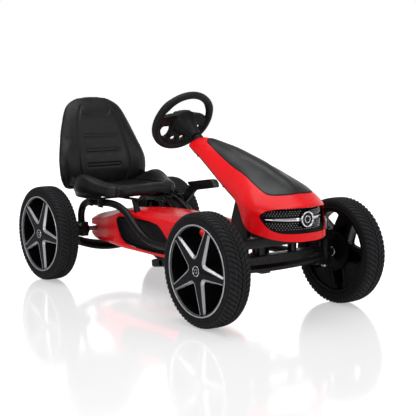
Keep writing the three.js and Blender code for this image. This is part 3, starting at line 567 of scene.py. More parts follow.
def rim_trim_shape():
    """The bright bevels along the spokes, broader towards the hub, and the hoop round them."""
    parts = []
    base = window_outline()
    section = ((-1.5, 0.4), (0.5, 0.5), (1.5, -0.8), (2.6, -5.5), (1.4, -6.6), (0, -2.6), (-1.5, -0.6))
    loops = []
    for inset, u in section:
        loop = grown(base, lambda a, b: -inset * trim_share(a, b, inset > 2))
        loops.append([on_wheel(a, b, u) for a, b in loop])
    ring = dished(loft(loops, looped=True))
    parts += [ring.moved(Matrix.Rotation(-math.radians(t), 4, "Y")) for t in WINDOW_ANGLES]
    hoop = [(123.6, 33), (123.9, 34.6), (124.8, 35.2), (126.9, 35.2), (127.7, 34.4), (127.8, 33)]
    parts.append(lathe(hoop, sides=128))
    return merge(*parts)


def cap_shape():
    """Two fine rings on the hub's dome, and the bush behind it."""
    ring = [(12.3, 33.5), (12.5, 34.9), (13.1, 35.3), (14, 35.2), (14.5, 34.6), (14.6, 33.5)]
    bush = [(9, -34.8), (12.4, -34.8), (13.2, -34), (13.2, -31), (9, -31)]
    inner = [(4.4, 33.5), (4.6, 34.7), (5.2, 35), (6, 34.6), (6.1, 33.5)]
    return merge(lathe(ring, sides=64), lathe(inner, sides=48), lathe(bush, sides=48))


def add_wheels():
    shapes = {"tyre": (tyre_shape(), RUBBER), "rim": (rim_shape(), RIM),
              "rim_trim": (rim_trim_shape(), SILVER), "cap": (cap_shape(), CHROME)}
    meshes = {"left": {}, "right": {}}
    for part, (shape, finish) in shapes.items():
        meshes["left"][part] = mesh_of(f"{part}_left", shape, finish)
        meshes["right"][part] = mesh_of(f"{part}_right", shape.mirrored(), finish)
    replaced = {"tyre": "tyre", "rim": "rim", "cap": "hub_cap"}
    bodies = {("rear", "right"): "rear_drive", ("rear", "left"): "wheel_rear_left",
              ("front", "right"): "wheel_front_right", ("front", "left"): "wheel_front_left"}
    for (end, side), body in bodies.items():
        x = AXLE_X if end == "front" else -AXLE_X
        y = WHEEL_Y if side == "left" else -WHEEL_Y
        for part, mesh in meshes[side].items():
            obj = linked(f"{end}_{side}_{part}_piece", mesh)
            obj.location = Vector((x, y, AXLE_Z)) * MM
            nodes = f"{end}_{side}_{replaced[part]}" if part in replaced else None
            dressed(obj, body, nodes, 0, 32)


add_wheels()


# ---- Frame, drive and brake ----
TUBE_Y, TUBE_R = 120, 12
TUBE_LINE = [
    (-452, 187), (-452, 214), (-436, 244), (-400, 261), (-340, 264), (-250, 268), (-195, 260), (-150, 240),
    (-108, 209), (-67, 184), (-22, 167), (30, 162), (90, 162), (230, 162), (409.6, 162),
]
CRANK_X, CRANK_Z, CRANK_R, CRANK_ANGLE = 150, 188, 72, -38
PEDAL_Y, PEDAL_LENGTH, PEDAL_WIDTH = 195, 92, 84
CHAIN_Y, CHAIN_PITCH, CRANK_TEETH, AXLE_TEETH = -38, 12.7, 24, 16
PLATE_RADIUS = 3.8
BEAM_TOP = 146
REFINED_STEEL = ["rear_axle", "crank_spindle", "steering_shaft", "kingpin_right", "kingpin_left",
                 "brake_drum"]
REFINED_PAINT = ["main_beam", "front_crossmember", "rear_bearing_right", "rear_bearing_left", "crank_bracket",
                 "steering_head", "track_rod", "knuckle_right", "knuckle_left", "seat_frame", "brake_bracket",
                 "brake_lever", "brake_rod", "crank_arm_right", "crank_arm_left"]


def bowed_beam(x0, x1, half, bottom, height, rise, top):
    """A pressed channel across the kart: rolled lower lip, recessed front wall, flanged top.

    It is `bottom` high in the middle and rises by `rise` towards the ends at +-half; `top` cuts it off.
    """
    rings = []
    steps = 32
    for i in range(steps + 1):
        y = half * (2 * i / steps - 1)
        z = bottom + rise * (y / half) ** 2
        roof = min(z + height, top)
        front = [(x1 - 7, z), (x1 - 2.5, z + 1.4), (x1, z + 5), (x1 - 0.2, z + 9), (x1 - 2.5, z + 13),
                 (x1 - 8, z + 16.5), (x1 - 12, z + 21), (x1 - 12.5, roof - 5), (x1 - 10.5, roof - 1.5),
                 (x1 - 12, roof)]
        rear = [(x0 + 3, roof), (x0, roof - 3), (x0, z + 8), (x0 + 2, z + 2.5), (x0 + 7, z)]
        rings.append([(x, y, level) for x, level in front + rear])
    return loft(rings)


def bolt(place, axis, radius=5.5):
    """A washer and a hexagon head."""
    axis = Vector(axis).normalized()
    washer = lathe([(0, 0), (radius * 1.5, 0), (radius * 1.5, 1.1), (0, 1.1)], place, axis, 20)
    head = lathe([(0, 1), (radius, 1), (radius, 4.2), (radius * 0.86, 5), (0, 5)], place, axis, 6)
    return merge(washer, head)


def add_frame():
    for node in REFINED_STEEL:
        refined(node, STEEL, 0.8)
    for node in REFINED_PAINT:
        refined(node, PAINT, 1.4)
    for side, sign in SIDES:
        path = spline([(x, sign * TUBE_Y, z) for x, z in TUBE_LINE], 8)
        make(f"side_tube_{side}_piece", tube(path, TUBE_R, 24), PAINT, "frame", f"side_tube_{side}", sharp=60)
    front = [bowed_beam(425, 475, 172, 132, 46, 7, 178)]
    for sign in (-1, 1):
        inner, outer, tip = sorted((sign * 140, sign * 172)), sorted((sign * 140, sign * 204)), sign * 190
        front.append(block(434, 466, *outer, 128, 140))
        front.append(block(436, 464, *inner, 130, 165))
        front.append(lathe([(7.6, 124), (13, 124), (13, 141), (7.6, 141)], (450, tip, 0), (0, 0, 1), 32))
        front.append(bar((410, sign * TUBE_Y, 162), (426, sign * TUBE_Y, 162), TUBE_R + 3, 28))
    make("front_beam_piece", merge(*front), PAINT, "frame", "front_beam", bevel=1.2, sharp=40)
    rear = bowed_beam(-470, -430, 136, 79, 32, 27, 137.7)
    make("rear_beam_piece", rear, PAINT, "frame", "rear_beam", sharp=40)
    bolts = [bolt((x, y, BEAM_TOP + 7), (0, 0, 1)) for x in (305, 361) for y in (-28, 28)]
    bolts += [bolt((x, y, BEAM_TOP + 8), (0, 0, 1), 3.2) for x in (130.5, 169.5) for y in (-10, 10)]
    bolts += [bolt((x, s * 133, 178), (0, s, 0), 4.5) for x in (-466, -434) for s in (-1, 1)]
    make("frame_bolts", merge(*bolts), STEEL, "frame", sharp=30)
    clamps = [bolt((x, s * 136.5, 268), (0, s, 0), 4.5) for x in (-362, -296) for s in (-1, 1)]
    make("seat_clamp_bolts", merge(*clamps), PAINT, "frame", sharp=30)
    make("brake_pivot_bolt", bolt((-208, 160, 262), (0, 1, 0), 5), STEEL, "frame", sharp=30)


# ---- Chain drive ----
def pitch_radius(teeth):
    return CHAIN_PITCH / (2 * math.sin(math.pi / teeth))


def chain_path():
    """The chain's pitch line in X and Z, as fine points."""
    front, rear = pitch_radius(CRANK_TEETH), pitch_radius(AXLE_TEETH)
    dx, dz = CRANK_X + AXLE_X, CRANK_Z - AXLE_Z
    slope, lean = math.atan2(dz, dx), math.asin((front - rear) / math.hypot(dx, dz))
    points = []
    for x, z, radius, start, sweep in (
            (CRANK_X, CRANK_Z, front, slope - math.pi / 2 - lean, math.pi + 2 * lean),
            (-AXLE_X, AXLE_Z, rear, slope + math.pi / 2 + lean, math.pi - 2 * lean)):
        angles = [start + sweep * k / 40 for k in range(41)]
        points += [Vector((x + radius * math.cos(t), z + radius * math.sin(t))) for t in angles]
    return points


def along(points, count):
    """`count` points spaced evenly round a closed path."""
    lengths = [(b - a).length for a, b in zip(points, points[1:] + points[:1])]
    step = sum(lengths) / count
    out, i, done = [], 0, 0.0
    for k in range(count):
        while done + lengths[i] < k * step:
            done += lengths[i]
            i += 1
        out.append(points[i].lerp(points[(i + 1) % len(points)], (k * step - done) / lengths[i]))
    return out


def chain_shape():
    """Links with plates on both sides, and the pin and roller of each."""
    path = chain_path()
    total = sum((b - a).length for a, b in zip(path, path[1:] + path[:1]))
    pins = along(path, 2 * round(total / CHAIN_PITCH / 2))
    parts = []
    for k, (a, b) in enumerate(zip(pins, pins[1:] + pins[:1])):
        run = (b - a).normalized()
        rise = Vector((-run.y, run.x))
        outline = []
        for centre, sign in ((a, -1), (b, 1)):
            reach = sign * PLATE_RADIUS
            turns = [math.radians(t) for t in (-75, -30, 30, 75)]
            outline += [tuple(centre + run * reach * math.cos(t) + rise * reach * math.sin(t)) for t in turns]
        outward = 2.2 if k % 2 else 3.2
        for side in (-1, 1):
            y = CHAIN_Y + side * outward
            parts.append(prism(outline, y - 0.45, y + 0.45, across))
        parts.append(lathe([(0, -3.9), (2, -3.9), (2, -2), (3.3, -2), (3.3, 2), (2, 2), (2, 3.9), (0, 3.9)],
                           (a.x, CHAIN_Y, a.y), (0, 1, 0), 8))
    return merge(*parts)


def sprocket_shape(x, z, teeth, hub, holes):
    radius = pitch_radius(teeth)
    outline = []
    for k in range(teeth):
        for share, height in ((0, -4.2), (0.18, -3.4), (0.36, 2.2), (0.64, 2.2), (0.82, -3.4)):
            t = 2 * math.pi * (k + share) / teeth
            outline.append((x + (radius + height) * math.cos(t), z + (radius + height) * math.sin(t)))
    openings = []
    for k in range(holes):
        t = 2 * math.pi * k / holes
        openings.append([(x + 28 * math.cos(t) + a, z + 28 * math.sin(t) + b) for a, b in circle(7, 20)])
    disc = prism(outline, CHAIN_Y - 1.4, CHAIN_Y + 1.4, across, openings)
    profile = [(8.3, -9), (hub - 1, -9), (hub, -8), (hub, 8), (hub - 1, 9), (8.3, 9)]
    return merge(disc, lathe(profile, (x, CHAIN_Y, z), (0, 1, 0), 32))


def pedal_shape(side, tilt):
    """A pedal block with a frame, seven ribs across each face and end caps for its bearing."""
    half, wide = PEDAL_LENGTH / 2, PEDAL_WIDTH / 2
    outline = rounded([(-half, -8), (-half + 9, -11), (half - 9, -11), (half, -8), (half, 8), (half - 9, 11),
                       (-half + 9, 11), (-half, 8)], 3, 3)
    parts = [prism([(a, b * 0.78) for a, b in outline], -wide + 2, wide - 2, across)]
    for end in (-1, 1):
        rail = sorted((end * wide, end * (wide - 6)))
        parts.append(prism(outline, *rail, across))
        parts.append(lathe([(0, 0), (9, 0), (9, 3), (0, 3)], (0, end * (wide - 3), 0), (0, end, 0), 28))
    for k in range(7):
        a = -33 + 11 * k
        parts.append(block(a - 2, a + 2, -wide + 1, wide - 1, -11.8, 11.8))
    angle = math.radians(CRANK_ANGLE) + (math.pi if side > 0 else 0)
    place = Vector((CRANK_X + CRANK_R * math.cos(angle), side * PEDAL_Y, CRANK_Z + CRANK_R * math.sin(angle)))
    return merge(*parts).moved(Matrix.Translation(place) @ Matrix.Rotation(-math.radians(tilt), 4, "Y"))


def add_drive():
    make("chain_piece", chain_shape(), STEEL, "frame", "chain", sharp=30)
    chain_wheel = sprocket_shape(CRANK_X, CRANK_Z, CRANK_TEETH, 16, 5)
    make("chain_wheel_piece", chain_wheel, STEEL, "crank", "chain_wheel", bevel=0.3)
    sprocket = sprocket_shape(-AXLE_X, AXLE_Z, AXLE_TEETH, 14, 0)
    make("axle_sprocket_piece", sprocket, STEEL, "rear_drive", "axle_sprocket", bevel=0.3)
    for (side, sign), tilt in zip(SIDES, (8, 78)):
        pedal = f"pedal_{side}"
        make(f"{pedal}_piece", pedal_shape(sign, tilt), PLASTIC, f"{pedal}_body", pedal, bevel=0.7)
    nuts = [bolt((CRANK_X, s * 153, CRANK_Z), (0, s, 0), 6) for s in (-1, 1)]
    make("crank_nuts", merge(*nuts), STEEL, "crank", sharp=30)


BRAKE_X, BRAKE_Z = -208, 262


def add_brake():
    grip = [(35, 67), (98, 76), (156, 84), (172, 81.5), (182, 72), (185.5, 59), (176, 56.5), (118, 47.5),
            (62, 39.5)]
    cap = [(158, 84.6), (172.5, 82.4), (182.6, 72.4), (186, 58.6), (176, 56), (172, 70)]
    pieces = (("brake_grip_piece", grip, [4, 30, 12, 12, 8, 5, 20, 40, 4], 5, (136.5, 159.5), PLASTIC,
               "brake_grip", 3.2),
              ("brake_grip_cap", cap, 4, 4, (136.2, 159.8), GREY, None, 2.6))
    for name, points, radii, steps, ys, finish, node, bevel in pieces:
        outline = rounded([(BRAKE_X + x, BRAKE_Z + z) for x, z in points], radii, steps)
        make(name, prism(outline, *ys, across), finish, "hand_brake", node, bevel=bevel, sharp=30)


add_frame()
add_drive()
add_brake()


# ---- Bodywork ----
def resampled(table, count):
    """Smooth rows spaced evenly along the curve of a table's first two columns."""
    at = [0.0]
    for a, b in zip(table, table[1:]):
        at.append(at[-1] + math.hypot(b[0] - a[0], b[1] - a[1]))
    last = len(table) - 1

    def slope(i, k):
        low, high = max(i - 1, 0), min(i + 1, last)
        return (table[high][k] - table[low][k]) / (at[high] - at[low])

    rows = []
    i = 0
    for n in range(count):
        s = at[-1] * n / (count - 1)
        while i < last - 1 and at[i + 1] < s:
            i += 1
        span = at[i + 1] - at[i]
        a, b, c, d = hermite((s - at[i]) / span)
        rows.append([a * table[i][k] + b * span * slope(i, k) + c * table[i + 1][k]
                     + d * span * slope(i + 1, k) for k in range(len(table[0]))])
    return rows


# Stations of the nose fairing: x, half width, crown, top of the side wall, lower edge.
NOSE = [
    (76, 34, 485, 474, 470), (90, 41, 494, 474, 467), (110, 45, 498, 468, 461), (153, 53, 495, 452, 445),
    (214, 62, 482, 421, 413), (270, 72, 469, 394, 385), (327, 84, 453, 368, 359), (377, 98, 438, 352, 341),
    (409, 110, 427, 340, 326), (438, 122, 415, 327, 300), (457, 127, 407, 322, 276), (475, 128, 400, 318, 262),
    (497, 126, 390, 314, 253), (525, 116, 374, 310, 246), (545, 103, 358, 309, 240), (562, 87, 346, 310, 236),
    (576, 67, 337, 312, 233), (585, 45, 331, 313, 231), (589.5, 22, 327, 313, 230),
]
NOSE_CROWN = 1.62  # exponent of the roof's arch
SHELL_WALL = 3.4
NOSE_ROWS = resampled(NOSE, 240)
GRILLE_OUTLINE = [
    (-119, 303), (-112, 314), (-96, 320), (-60, 323), (60, 323), (96, 320), (112, 314), (119, 303),
    (115, 284), (104, 266), (84, 256), (50, 253), (-50, 253), (-84, 256), (-104, 266), (-115, 284),
]
STEER_HUB = Vector((-3, 0, 546))
STEER_TILT = math.radians(35)


def shaft_point(down):
    """A point `down` the steering shaft from the middle of the steering wheel."""
    return STEER_HUB + Vector((down * math.cos(STEER_TILT), 0, -down * math.sin(STEER_TILT)))


def on_shaft(profile, sides=48):
    """A turned part on the steering shaft: (radius, distance down the shaft)."""
    return lathe(profile, STEER_HUB, shaft_point(1) - STEER_HUB, sides)


def nose_row(x):
    """The fairing's station at x."""
    for a, b in zip(NOSE_ROWS, NOSE_ROWS[1:]):
        if a[0] <= x <= b[0]:
            t = (x - a[0]) / max(b[0] - a[0], 1e-6)
            return [p + (q - p) * t for p, q in zip(a, b)]
    return NOSE_ROWS[0] if x < NOSE_ROWS[0][0] else NOSE_ROWS[-1]


def arch(wall, crown, share):
    """The roof's height at a share of its half width, from the walls' top to the crown."""
    return wall + (crown - wall) * (1 - share ** NOSE_CROWN) ** (1 / NOSE_CROWN)


def roof(x, y):
    """The point of the fairing's roof above x, y."""
    _, half, crown, wall, _ = nose_row(x)
    return Vector((x, y, arch(wall, crown, min(abs(y) / half, 1))))


def lifted(x, y, height):
    """A point above the roof, square to it."""
    normal = (roof(x + 1, y) - roof(x - 1, y)).cross(roof(x, y + 1) - roof(x, y - 1)).normalized()
    return roof(x, y) + normal * height


def nose_ring(row):
    x, half, crown, wall, lower = row
    side = [(x, half, lower + (wall - lower) * k / 6) for k in range(6)]
    turns = [math.pi / 2 * (1 - k / 12) for k in range(13)]
    left = side + [(x, half * math.sin(t), arch(wall, crown, math.sin(t))) for t in turns]
    return left + [(px, -py, pz) for px, py, pz in left[-2::-1]]


def ended(rings):
    """An open-bottomed skin through arch-shaped rings, closed across its two ends."""
    skin = loft(rings, closed=False, capped=False)
    n = len(rings[0])
    for start in (0, n * (len(rings) - 1)):
        skin.faces += [(start + j, start + j + 1, start + n - 2 - j, start + n - 1 - j)
                       for j in range(n // 2 - 1)]
        skin.faces.append((start + n // 2 - 1, start + n // 2, start + n // 2 + 1))
    return skin


def shell(node, skin, cuts, middle):
    """An open red skin made into a wall of even thickness, with its openings cut out."""
    name = node + "_piece"
    obj = linked(name, mesh_of(name, skin, RED, away_from=middle))
    wall = obj.modifiers.new("wall", "SOLIDIFY")
    wall.thickness = SHELL_WALL * MM
    wall.offset = -1
    applied(obj)
    cut(obj, *cuts)
    return dressed(obj, "frame", node, 0, 42)


def add_fairing():
    rows = resampled(NOSE, 120)
    tip = rows[0]
    ends = [[tip[0] - back, tip[1] * share, tip[2] - drop, tip[3] - drop * 0.2, tip[4] + drop * 0.1]
            for back, share, drop in ((3.2, 0.55, 5), (2.4, 0.8, 2.6), (1.0, 0.94, 0.8))]
    skin = ended([nose_ring(row) for row in ends + rows])
    sleeve = bar(shaft_point(60), shaft_point(185), 19, 32, 0.5)
    cuts = [prism(flat_spline(GRILLE_OUTLINE, 5), 503, 620, along_x), sleeve]
    shell("nose_fairing", skin, cuts, (400, 0, 250))
    seal = [(18.2, 150), (21.4, 150), (21.8, 152), (21.4, 159), (20.4, 163), (18.2, 163)]
    make("sleeve_seal", on_shaft(seal, 40), PLASTIC, "frame", sharp=40)


def add_liner():
    """The black inner edge that shows below the red skin, with its mounting tabs."""
    parts = []
    rear, front = 88, 452
    rows = [row for row in NOSE_ROWS if rear < row[0] < front]
    for sign in (-1, 1):
        rings = []
        for x, half, _, _, lower in rows:
            fade = min(1, (front - x) / 60, (x - rear) / 30)
            drop = 1 + 4.5 * fade
            rings.append([(x, sign * (half - 1.2), lower + 6), (x, sign * (half - 1.6), lower - drop),
                          (x, sign * (half - 4.4), lower - drop), (x, sign * (half - 4.2), lower + 6)])
        parts.append(loft(rings))
        for x in (140, 300):
            _, half, _, _, lower = nose_row(x)
            parts.append(bar((x, sign * (half - 16), lower - 5), (x, sign * (half - 3), lower - 5), 5, 20))
    make("fairing_liner", merge(*parts), PLASTIC, "frame", sharp=40)


INSERT = [
    (145.5, 0), (148, 9), (158, 21), (200, 32), (270, 46), (377, 63), (460, 80),
    (500, 82), (520, 70), (533, 48), (541, 22), (543, 0),
]
INSERT_MIDDLE = 350
RIDGE = [(150, 17), (270, 20), (395, 18), (421, 17), (450, 15.6), (475, 14.5), (501, 14),
         (522, 11.5), (541, 6.6)]
RIDGE_LIFT, RIDGE_EDGE = 3.2, 2.5


def ridge_lift(x, y):
    """The raised middle of the hood insert, between two soft lines."""
    for (x0, y0), (x1, y1) in zip(RIDGE, RIDGE[1:]):
        if x0 <= x <= x1:
            line = y0 + (y1 - y0) * (x - x0) / (x1 - x0)
            fade = smoothstep(150, 260, x) * (1 - smoothstep(480, 541, x))
            return RIDGE_LIFT * fade * (1 - smoothstep(line - RIDGE_EDGE, line + RIDGE_EDGE, abs(y)))
    return 0.0


def hood_patch(margin, top, under, ridged):
    """A patch on the roof inside the insert's outline, grown by `margin`."""
    shares = [math.sin(math.pi / 2 * (2 * k / 36 - 1)) for k in range(37)]
    rings = []
    for x, y in resampled(INSERT, 90):
        y = max(y, 0) + margin
        x = x + margin * (1 if x > INSERT_MIDDLE else -1) * smoothstep(0, 60, abs(x - INSERT_MIDDLE) - 100)
        over = []
        for s in shares:
            height = top if abs(s) < 1 else top - 0.6
            over.append(lifted(x, y * s, height + (ridge_lift(x, y * s) if ridged else 0)))
        rings.append(over + [lifted(x, y * s, under) for s in reversed(shares)])
    return loft(rings)


def add_hood():
    make("hood_insert_piece", hood_patch(0, 1.0, -2.0, True), GREY, "frame", "hood_insert", sharp=50)
    # A black strip round the insert, laid on the red: painted shade standing in for the shaded gap between the insert
    # and the fairing.
    make("hood_gap_shade_strip", hood_patch(2.4, 0.35, -2.0, False), PLASTIC, "frame", sharp=50)


GRILLE_Z, GRILLE_DEPTH = 288, 16
BAR_Z, BAR_HALF = 290.5, 103.5
BADGE_Z = 290
NOSE_MIDDLE = 470


def front_curve(inset):
    """The plan of the fairing's front set back by `inset`, from right to left, as (x, y)."""
    front = NOSE[-1][0] - NOSE_MIDDLE
    right = [(NOSE_MIDDLE + (x - NOSE_MIDDLE) * (front - inset) / front, -max(half - inset, 4))
             for x, half, *_ in NOSE if x > 474]
    return right + [(x, -y) for x, y in reversed(right)]


def plan_point(curve, y):
    """The point of a plan curve at y, and the direction it faces."""
    for (x0, y0), (x1, y1) in zip(curve, curve[1:]):
        if y0 <= y <= y1:
            t = (y - y0) / (y1 - y0)
            return Vector((x0 + (x1 - x0) * t, y, 0)), Vector((y1 - y0, x0 - x1, 0)).normalized()
    return Vector((curve[0][0], y, 0)), Vector((0, 1, 0))


def add_grille():
    back = refined("grille", PLASTIC, 0)
    face = front_curve(GRILLE_DEPTH)
    outline = [(y * 0.9, GRILLE_Z + (z - GRILLE_Z) * 0.88) for y, z in GRILLE_OUTLINE]
    stud = [(0, -0.5), (1.5, -0.5), (1.4, 1.2), (1, 2.4), (0, 2.7)]
    studs = []
    for row in range(12):
        z = 257 + 5.6 * row
        y, odd = -104.0, row % 2
        column = 0
        while y < 104:
            _, out = plan_point(face, y)
            clear = abs(z - BAR_Z) > 7 and math.hypot(y, z - BADGE_Z) > 27
            found, on, _, _ = back.ray_cast(Vector((700, y, z)) * MM, Vector((-1, 0, 0)))
            if column % 2 == odd and clear and inside(outline, y, z) and found:
                studs.append(lathe(stud, (on.x / MM, y, z), out, 8))
            y += 4.1 * max(out.x, 0.35)
            column += 1
    make("grille_studs", merge(*studs), SILVER, "frame", sharp=60)
    curve = front_curve(GRILLE_DEPTH - 3)
    section = [(-2.5, -4), (0.6, -4.2), (1.5, -2.6), (1.7, 0), (1.5, 2.6), (0.6, 4.2), (-2.5, 4)]
    rings = []
    for k in range(61):
        y = BAR_HALF * (2 * k / 60 - 1)
        place, out = plan_point(curve, y)
        taper = 1 - 0.45 * smoothstep(40, 103, abs(y))
        end = 1 if 0 < k < 60 else 0.4
        rings.append([place + out * d + Vector((0, 0, BAR_Z + h * taper * end)) for d, h in section])
    make("grille_bar_piece", loft(rings), CHROME, "frame", "grille_bar", sharp=50)
    at, forward = (578.5, 0, BADGE_Z), (1, 0, 0)
    hoop = [(17, 1), (18, 4.4), (19.4, 6.2), (21, 6.6), (22.4, 5.4), (22.8, 3), (22.6, 0), (17.5, 0)]
    thin = [(8.2, 3), (8.4, 4.4), (9.2, 5), (10.2, 4.6), (10.5, 3.4), (10.4, 2.6), (8.4, 2.6)]
    badge = merge(lathe(hoop, at, forward, 72), lathe(thin, at, forward, 56))
    make("badge_piece", badge, CHROME, "frame", "badge", sharp=60)
    dish = [(0, 3.4), (7, 3), (12, 2.4), (17.8, 3.4), (18, 0), (0, 0)]
    make("badge_dish", lathe(dish, at, forward, 56), PLASTIC, "frame", sharp=50)


# Stations of the cowl: x, half width, top, shoulder, bottom.
COWL = [
    (-491, 54, 192, 181, 131), (-484, 60, 203, 189, 126), (-455, 65, 213, 194, 120), (-400, 70, 224, 200, 117),
    (-320, 86, 238, 216, 118), (-250, 98, 247, 231, 117), (-100, 101, 254, 240, 116), (50, 100, 254, 238, 115),
    (150, 96, 250, 232, 116), (215, 82, 238, 218, 120), (238, 62, 222, 204, 126),
]
PANEL = [
    (-262, 214), (-240, 225), (-180, 229), (-110, 229), (-52, 227), (-8, 221), (16, 206), (50, 174),
    (78, 138), (60, 129), (-39, 127), (-85, 128), (-144, 131), (-199, 137), (-229, 151), (-247, 178),
]


def cowl_ring(row):
    """The cowl's section at a station, open at the bottom."""
    x, half, top, shoulder, bottom = row
    corners = [(half * 0.86, bottom), (half, bottom + 11), (half, shoulder), (half * 0.62, top - 4), (0, top),
               (-half * 0.62, top - 4), (-half, shoulder), (-half, bottom + 11), (-half * 0.86, bottom)]
    ring = [corners[0]]
    for i, radius in enumerate((12, 5, 30, 60, 30, 5, 12)):
        ring += fillet(*corners[i:i + 3], radius, 5, 0.45)
    ring.append(corners[-1])
    middle = len(ring) // 2
    ring.insert(middle, tuple((Vector(ring[middle - 1]) + Vector(ring[middle])) / 2))
    return [(x, y, z) for y, z in ring]


def add_cowl():
    skin = ended([cowl_ring(row) for row in resampled(COWL, 70)])
    panel = rounded(PANEL, [12, 14, 60, 60, 40, 30, 30, 60, 8, 12, 60, 60, 60, 30, 30, 60], 6)
    cuts = [block(-520, -436, -80, 80, AXLE_Z - 11, AXLE_Z + 11), block(200, 260, -19, 19, 60, BEAM_TOP + 2),
            bar((CRANK_X, -140, CRANK_Z), (CRANK_X, 140, CRANK_Z), 13, 32),
            prism(panel, -130, 130, across)]
    cuts += [bar((-196, s * 64, 284), (-162, s * 72, 238), 12.5, 24) for s in (-1, 1)]
    shell("body_cowl", skin, cuts, (-100, 0, 150))
    # Plate, outer rim and raised step: how far each outline grows, the inner one's, near and far y.
    layers = ((5, None, 83, 86), (0.2, -2.2, 84, 96), (-10, -14, 85, 88.5))
    for side, sign in SIDES:
        shape = merge(*[prism(grown(panel, outer), *sorted((sign * near, sign * far)), across,
                              [] if inner is None else [grown(panel, inner)])
                        for outer, inner, near, far in layers])
        make(f"side_panel_{side}_piece", shape, PLASTIC, "frame", f"side_panel_{side}", bevel=0.8, sharp=40)


add_fairing()
add_liner()
add_hood()
add_grille()
add_cowl()


# ---- Steering wheel ----
RING_R = 98
SEAM_R = 86.58
UP = (0, 0, 1)
MIDDLE = (0, 0, 0)


def on_steering(shape):
    """From the wheel's own frame (X up in its plane, Y left, Z towards the rider) to its place."""
    turn = Matrix.Translation(STEER_HUB) @ Matrix.Rotation(-(math.pi / 2 - STEER_TILT), 4, "Y")
    return shape.moved(turn)


def grip_shape():
    """The grip: a thick ring with swellings for the thumbs."""
    points, radii = [], []
    for k in range(96):
        t = 2 * math.pi * k / 96
        swell = sum(math.exp(-((math.degrees(t) - at) / 13) ** 2) for at in (56, 304))
        points.append((RING_R * math.cos(t), RING_R * math.sin(t), 0))
        radii.append(11.6 + 1.5 * swell)
    return tube(points, radii, 24, closed=True)


def spokes_shape():
    """The plate between the hub and the grip, with its four openings."""
    arc = [(88.5 * math.cos(math.radians(t)), 88.5 * math.sin(math.radians(t))) for t in range(82, 279, 7)]
    top = [(14, -87), (24, -62), (30, -34), (36, 0), (30, 34), (24, 62), (14, 87)]
    outline = rounded(top, [4, 30, 30, 60, 30, 30, 4], 4) + arc
    left = rounded([(-13, 46), (-15, 74), (-30, 80), (-52, 66), (-66, 48), (-44, 37)],
                   [9, 10, 26, 26, 8, 30], 5)
    low = rounded([(-52, 6), (-54, 26), (-68, 30), (-76, 16), (-74, 5)], [5, 7, 5, 8, 4], 4)
    holes = [left, low, [(a, -b) for a, b in left], [(a, -b) for a, b in low]]
    plate = prism(outline, -7, 7, upright, holes)
    return plate.mapped(lambda v: (v.x, v.y, v.z - 5 * (1 - smoothstep(20, 86, math.hypot(v.x, v.y)))))


def add_steering():
    make("steering_rim_piece", on_steering(grip_shape()), GRIP, "steering", "steering_rim", sharp=60)
    seam = tube([(x, y, 0) for x, y in circle(SEAM_R)], 0.7, 8, closed=True)
    make("grip_seam", on_steering(seam), PLASTIC, "steering", sharp=60)
    make("steering_spokes_piece", on_steering(spokes_shape()), PLASTIC, "steering", "steering_spokes",
         bevel=2.4, sharp=40)
    pad_outline = rounded([(27, -34), (29, 0), (27, 34), (-6, 44), (-40, 22), (-44, 0), (-40, -22), (-6, -44)],
                          [10, 80, 10, 20, 18, 30, 18, 20], 6)
    pad = loft([[(a, b, h) for a, b in grown(pad_outline, d)]
                for h, d in ((2, 0), (12, 0), (17, -2), (21, -7), (23.5, -15), (24.4, -24))])
    make("steering_pad_piece", on_steering(pad), PLASTIC, "steering", "steering_pad", bevel=0.8, sharp=50)
    dash = rounded([(26, -28), (32, -23), (34, 0), (32, 23), (26, 28)], [3, 8, 60, 8, 3], 5)
    make("steering_dash", on_steering(prism(dash, 3, 12, upright)), GREY, "steering", bevel=1.5)
    ring = lathe([(11.5, 23.4), (12, 25.4), (13, 26), (14, 25.4), (14.5, 23.4)], MIDDLE, UP, 56)
    make("steering_pad_ring", on_steering(ring), CHROME, "steering", sharp=60)
    cone = [(8.3, -13), (44, -9), (42, -16), (36, -26), (28, -44), (22, -64), (19.6, -80), (19.4, -87),
            (17, -88.4), (8.3, -88.4)]
    make("steering_cone_piece", on_steering(lathe(cone, MIDDLE, UP, 56)), PLASTIC, "steering", "steering_cone",
         sharp=40)
    sleeve = on_shaft([(8.8, 94), (17.6, 94), (18, 95), (18, 166), (17, 168), (8.8, 168)])
    rings = [on_shaft([(17.8, h), (18.5, h + 0.6), (18.5, h + 2.4), (17.8, h + 3)]) for h in (100, 108, 116)]
    make("column_sleeve_piece", merge(sleeve, *rings), PLASTIC, "frame", "column_sleeve", sharp=40)


add_steering()


# ---- Seat ----
# Stations of the seat base: x, half width, top of the side wing, top of the middle.
BASE = [
    (-468, 132, 318, 314), (-446, 148, 336, 312), (-420, 158, 351, 311), (-395, 164, 359, 311), (-365, 165, 359, 312),
    (-330, 161, 350, 313), (-296, 155, 340, 314), (-264, 147, 334, 316), (-238, 137, 330, 320), (-218, 121, 327, 321),
    (-206, 97, 318, 313),
]
BASE_FLOOR = 288.5
# Stations of the backrest: height, x of the side crests, half width, dip of the middle, thickness.
BACK = [
    (296, -486, 146, 5, 31), (306, -485, 157, 7, 34), (318, -483, 164, 9, 38), (334, -479, 171, 11, 42),
    (360, -476, 175, 12, 44), (390, -477, 176, 12, 44), (425, -487, 170, 8, 44), (460, -502, 159, 3, 42),
    (500, -518, 146, -2, 40), (540, -533, 131, -6, 37), (570, -546, 117, -8, 33), (590, -556, 102, -6, 29),
    (606, -564, 79, -3, 23), (615, -569, 54, -2, 18), (620, -572, 24, -2, 12),
]
CUSHION_SHARE = 0.78
BASE_FULLNESS, BACK_FULLNESS = 6, 7  # how far the sides stand out beyond the stations
VOXEL, PRESSURE, CLOTH_FRAMES = 5, 4.0, 20
SMOOTHING_ROUNDS = 13
THREAD_R = 0.5


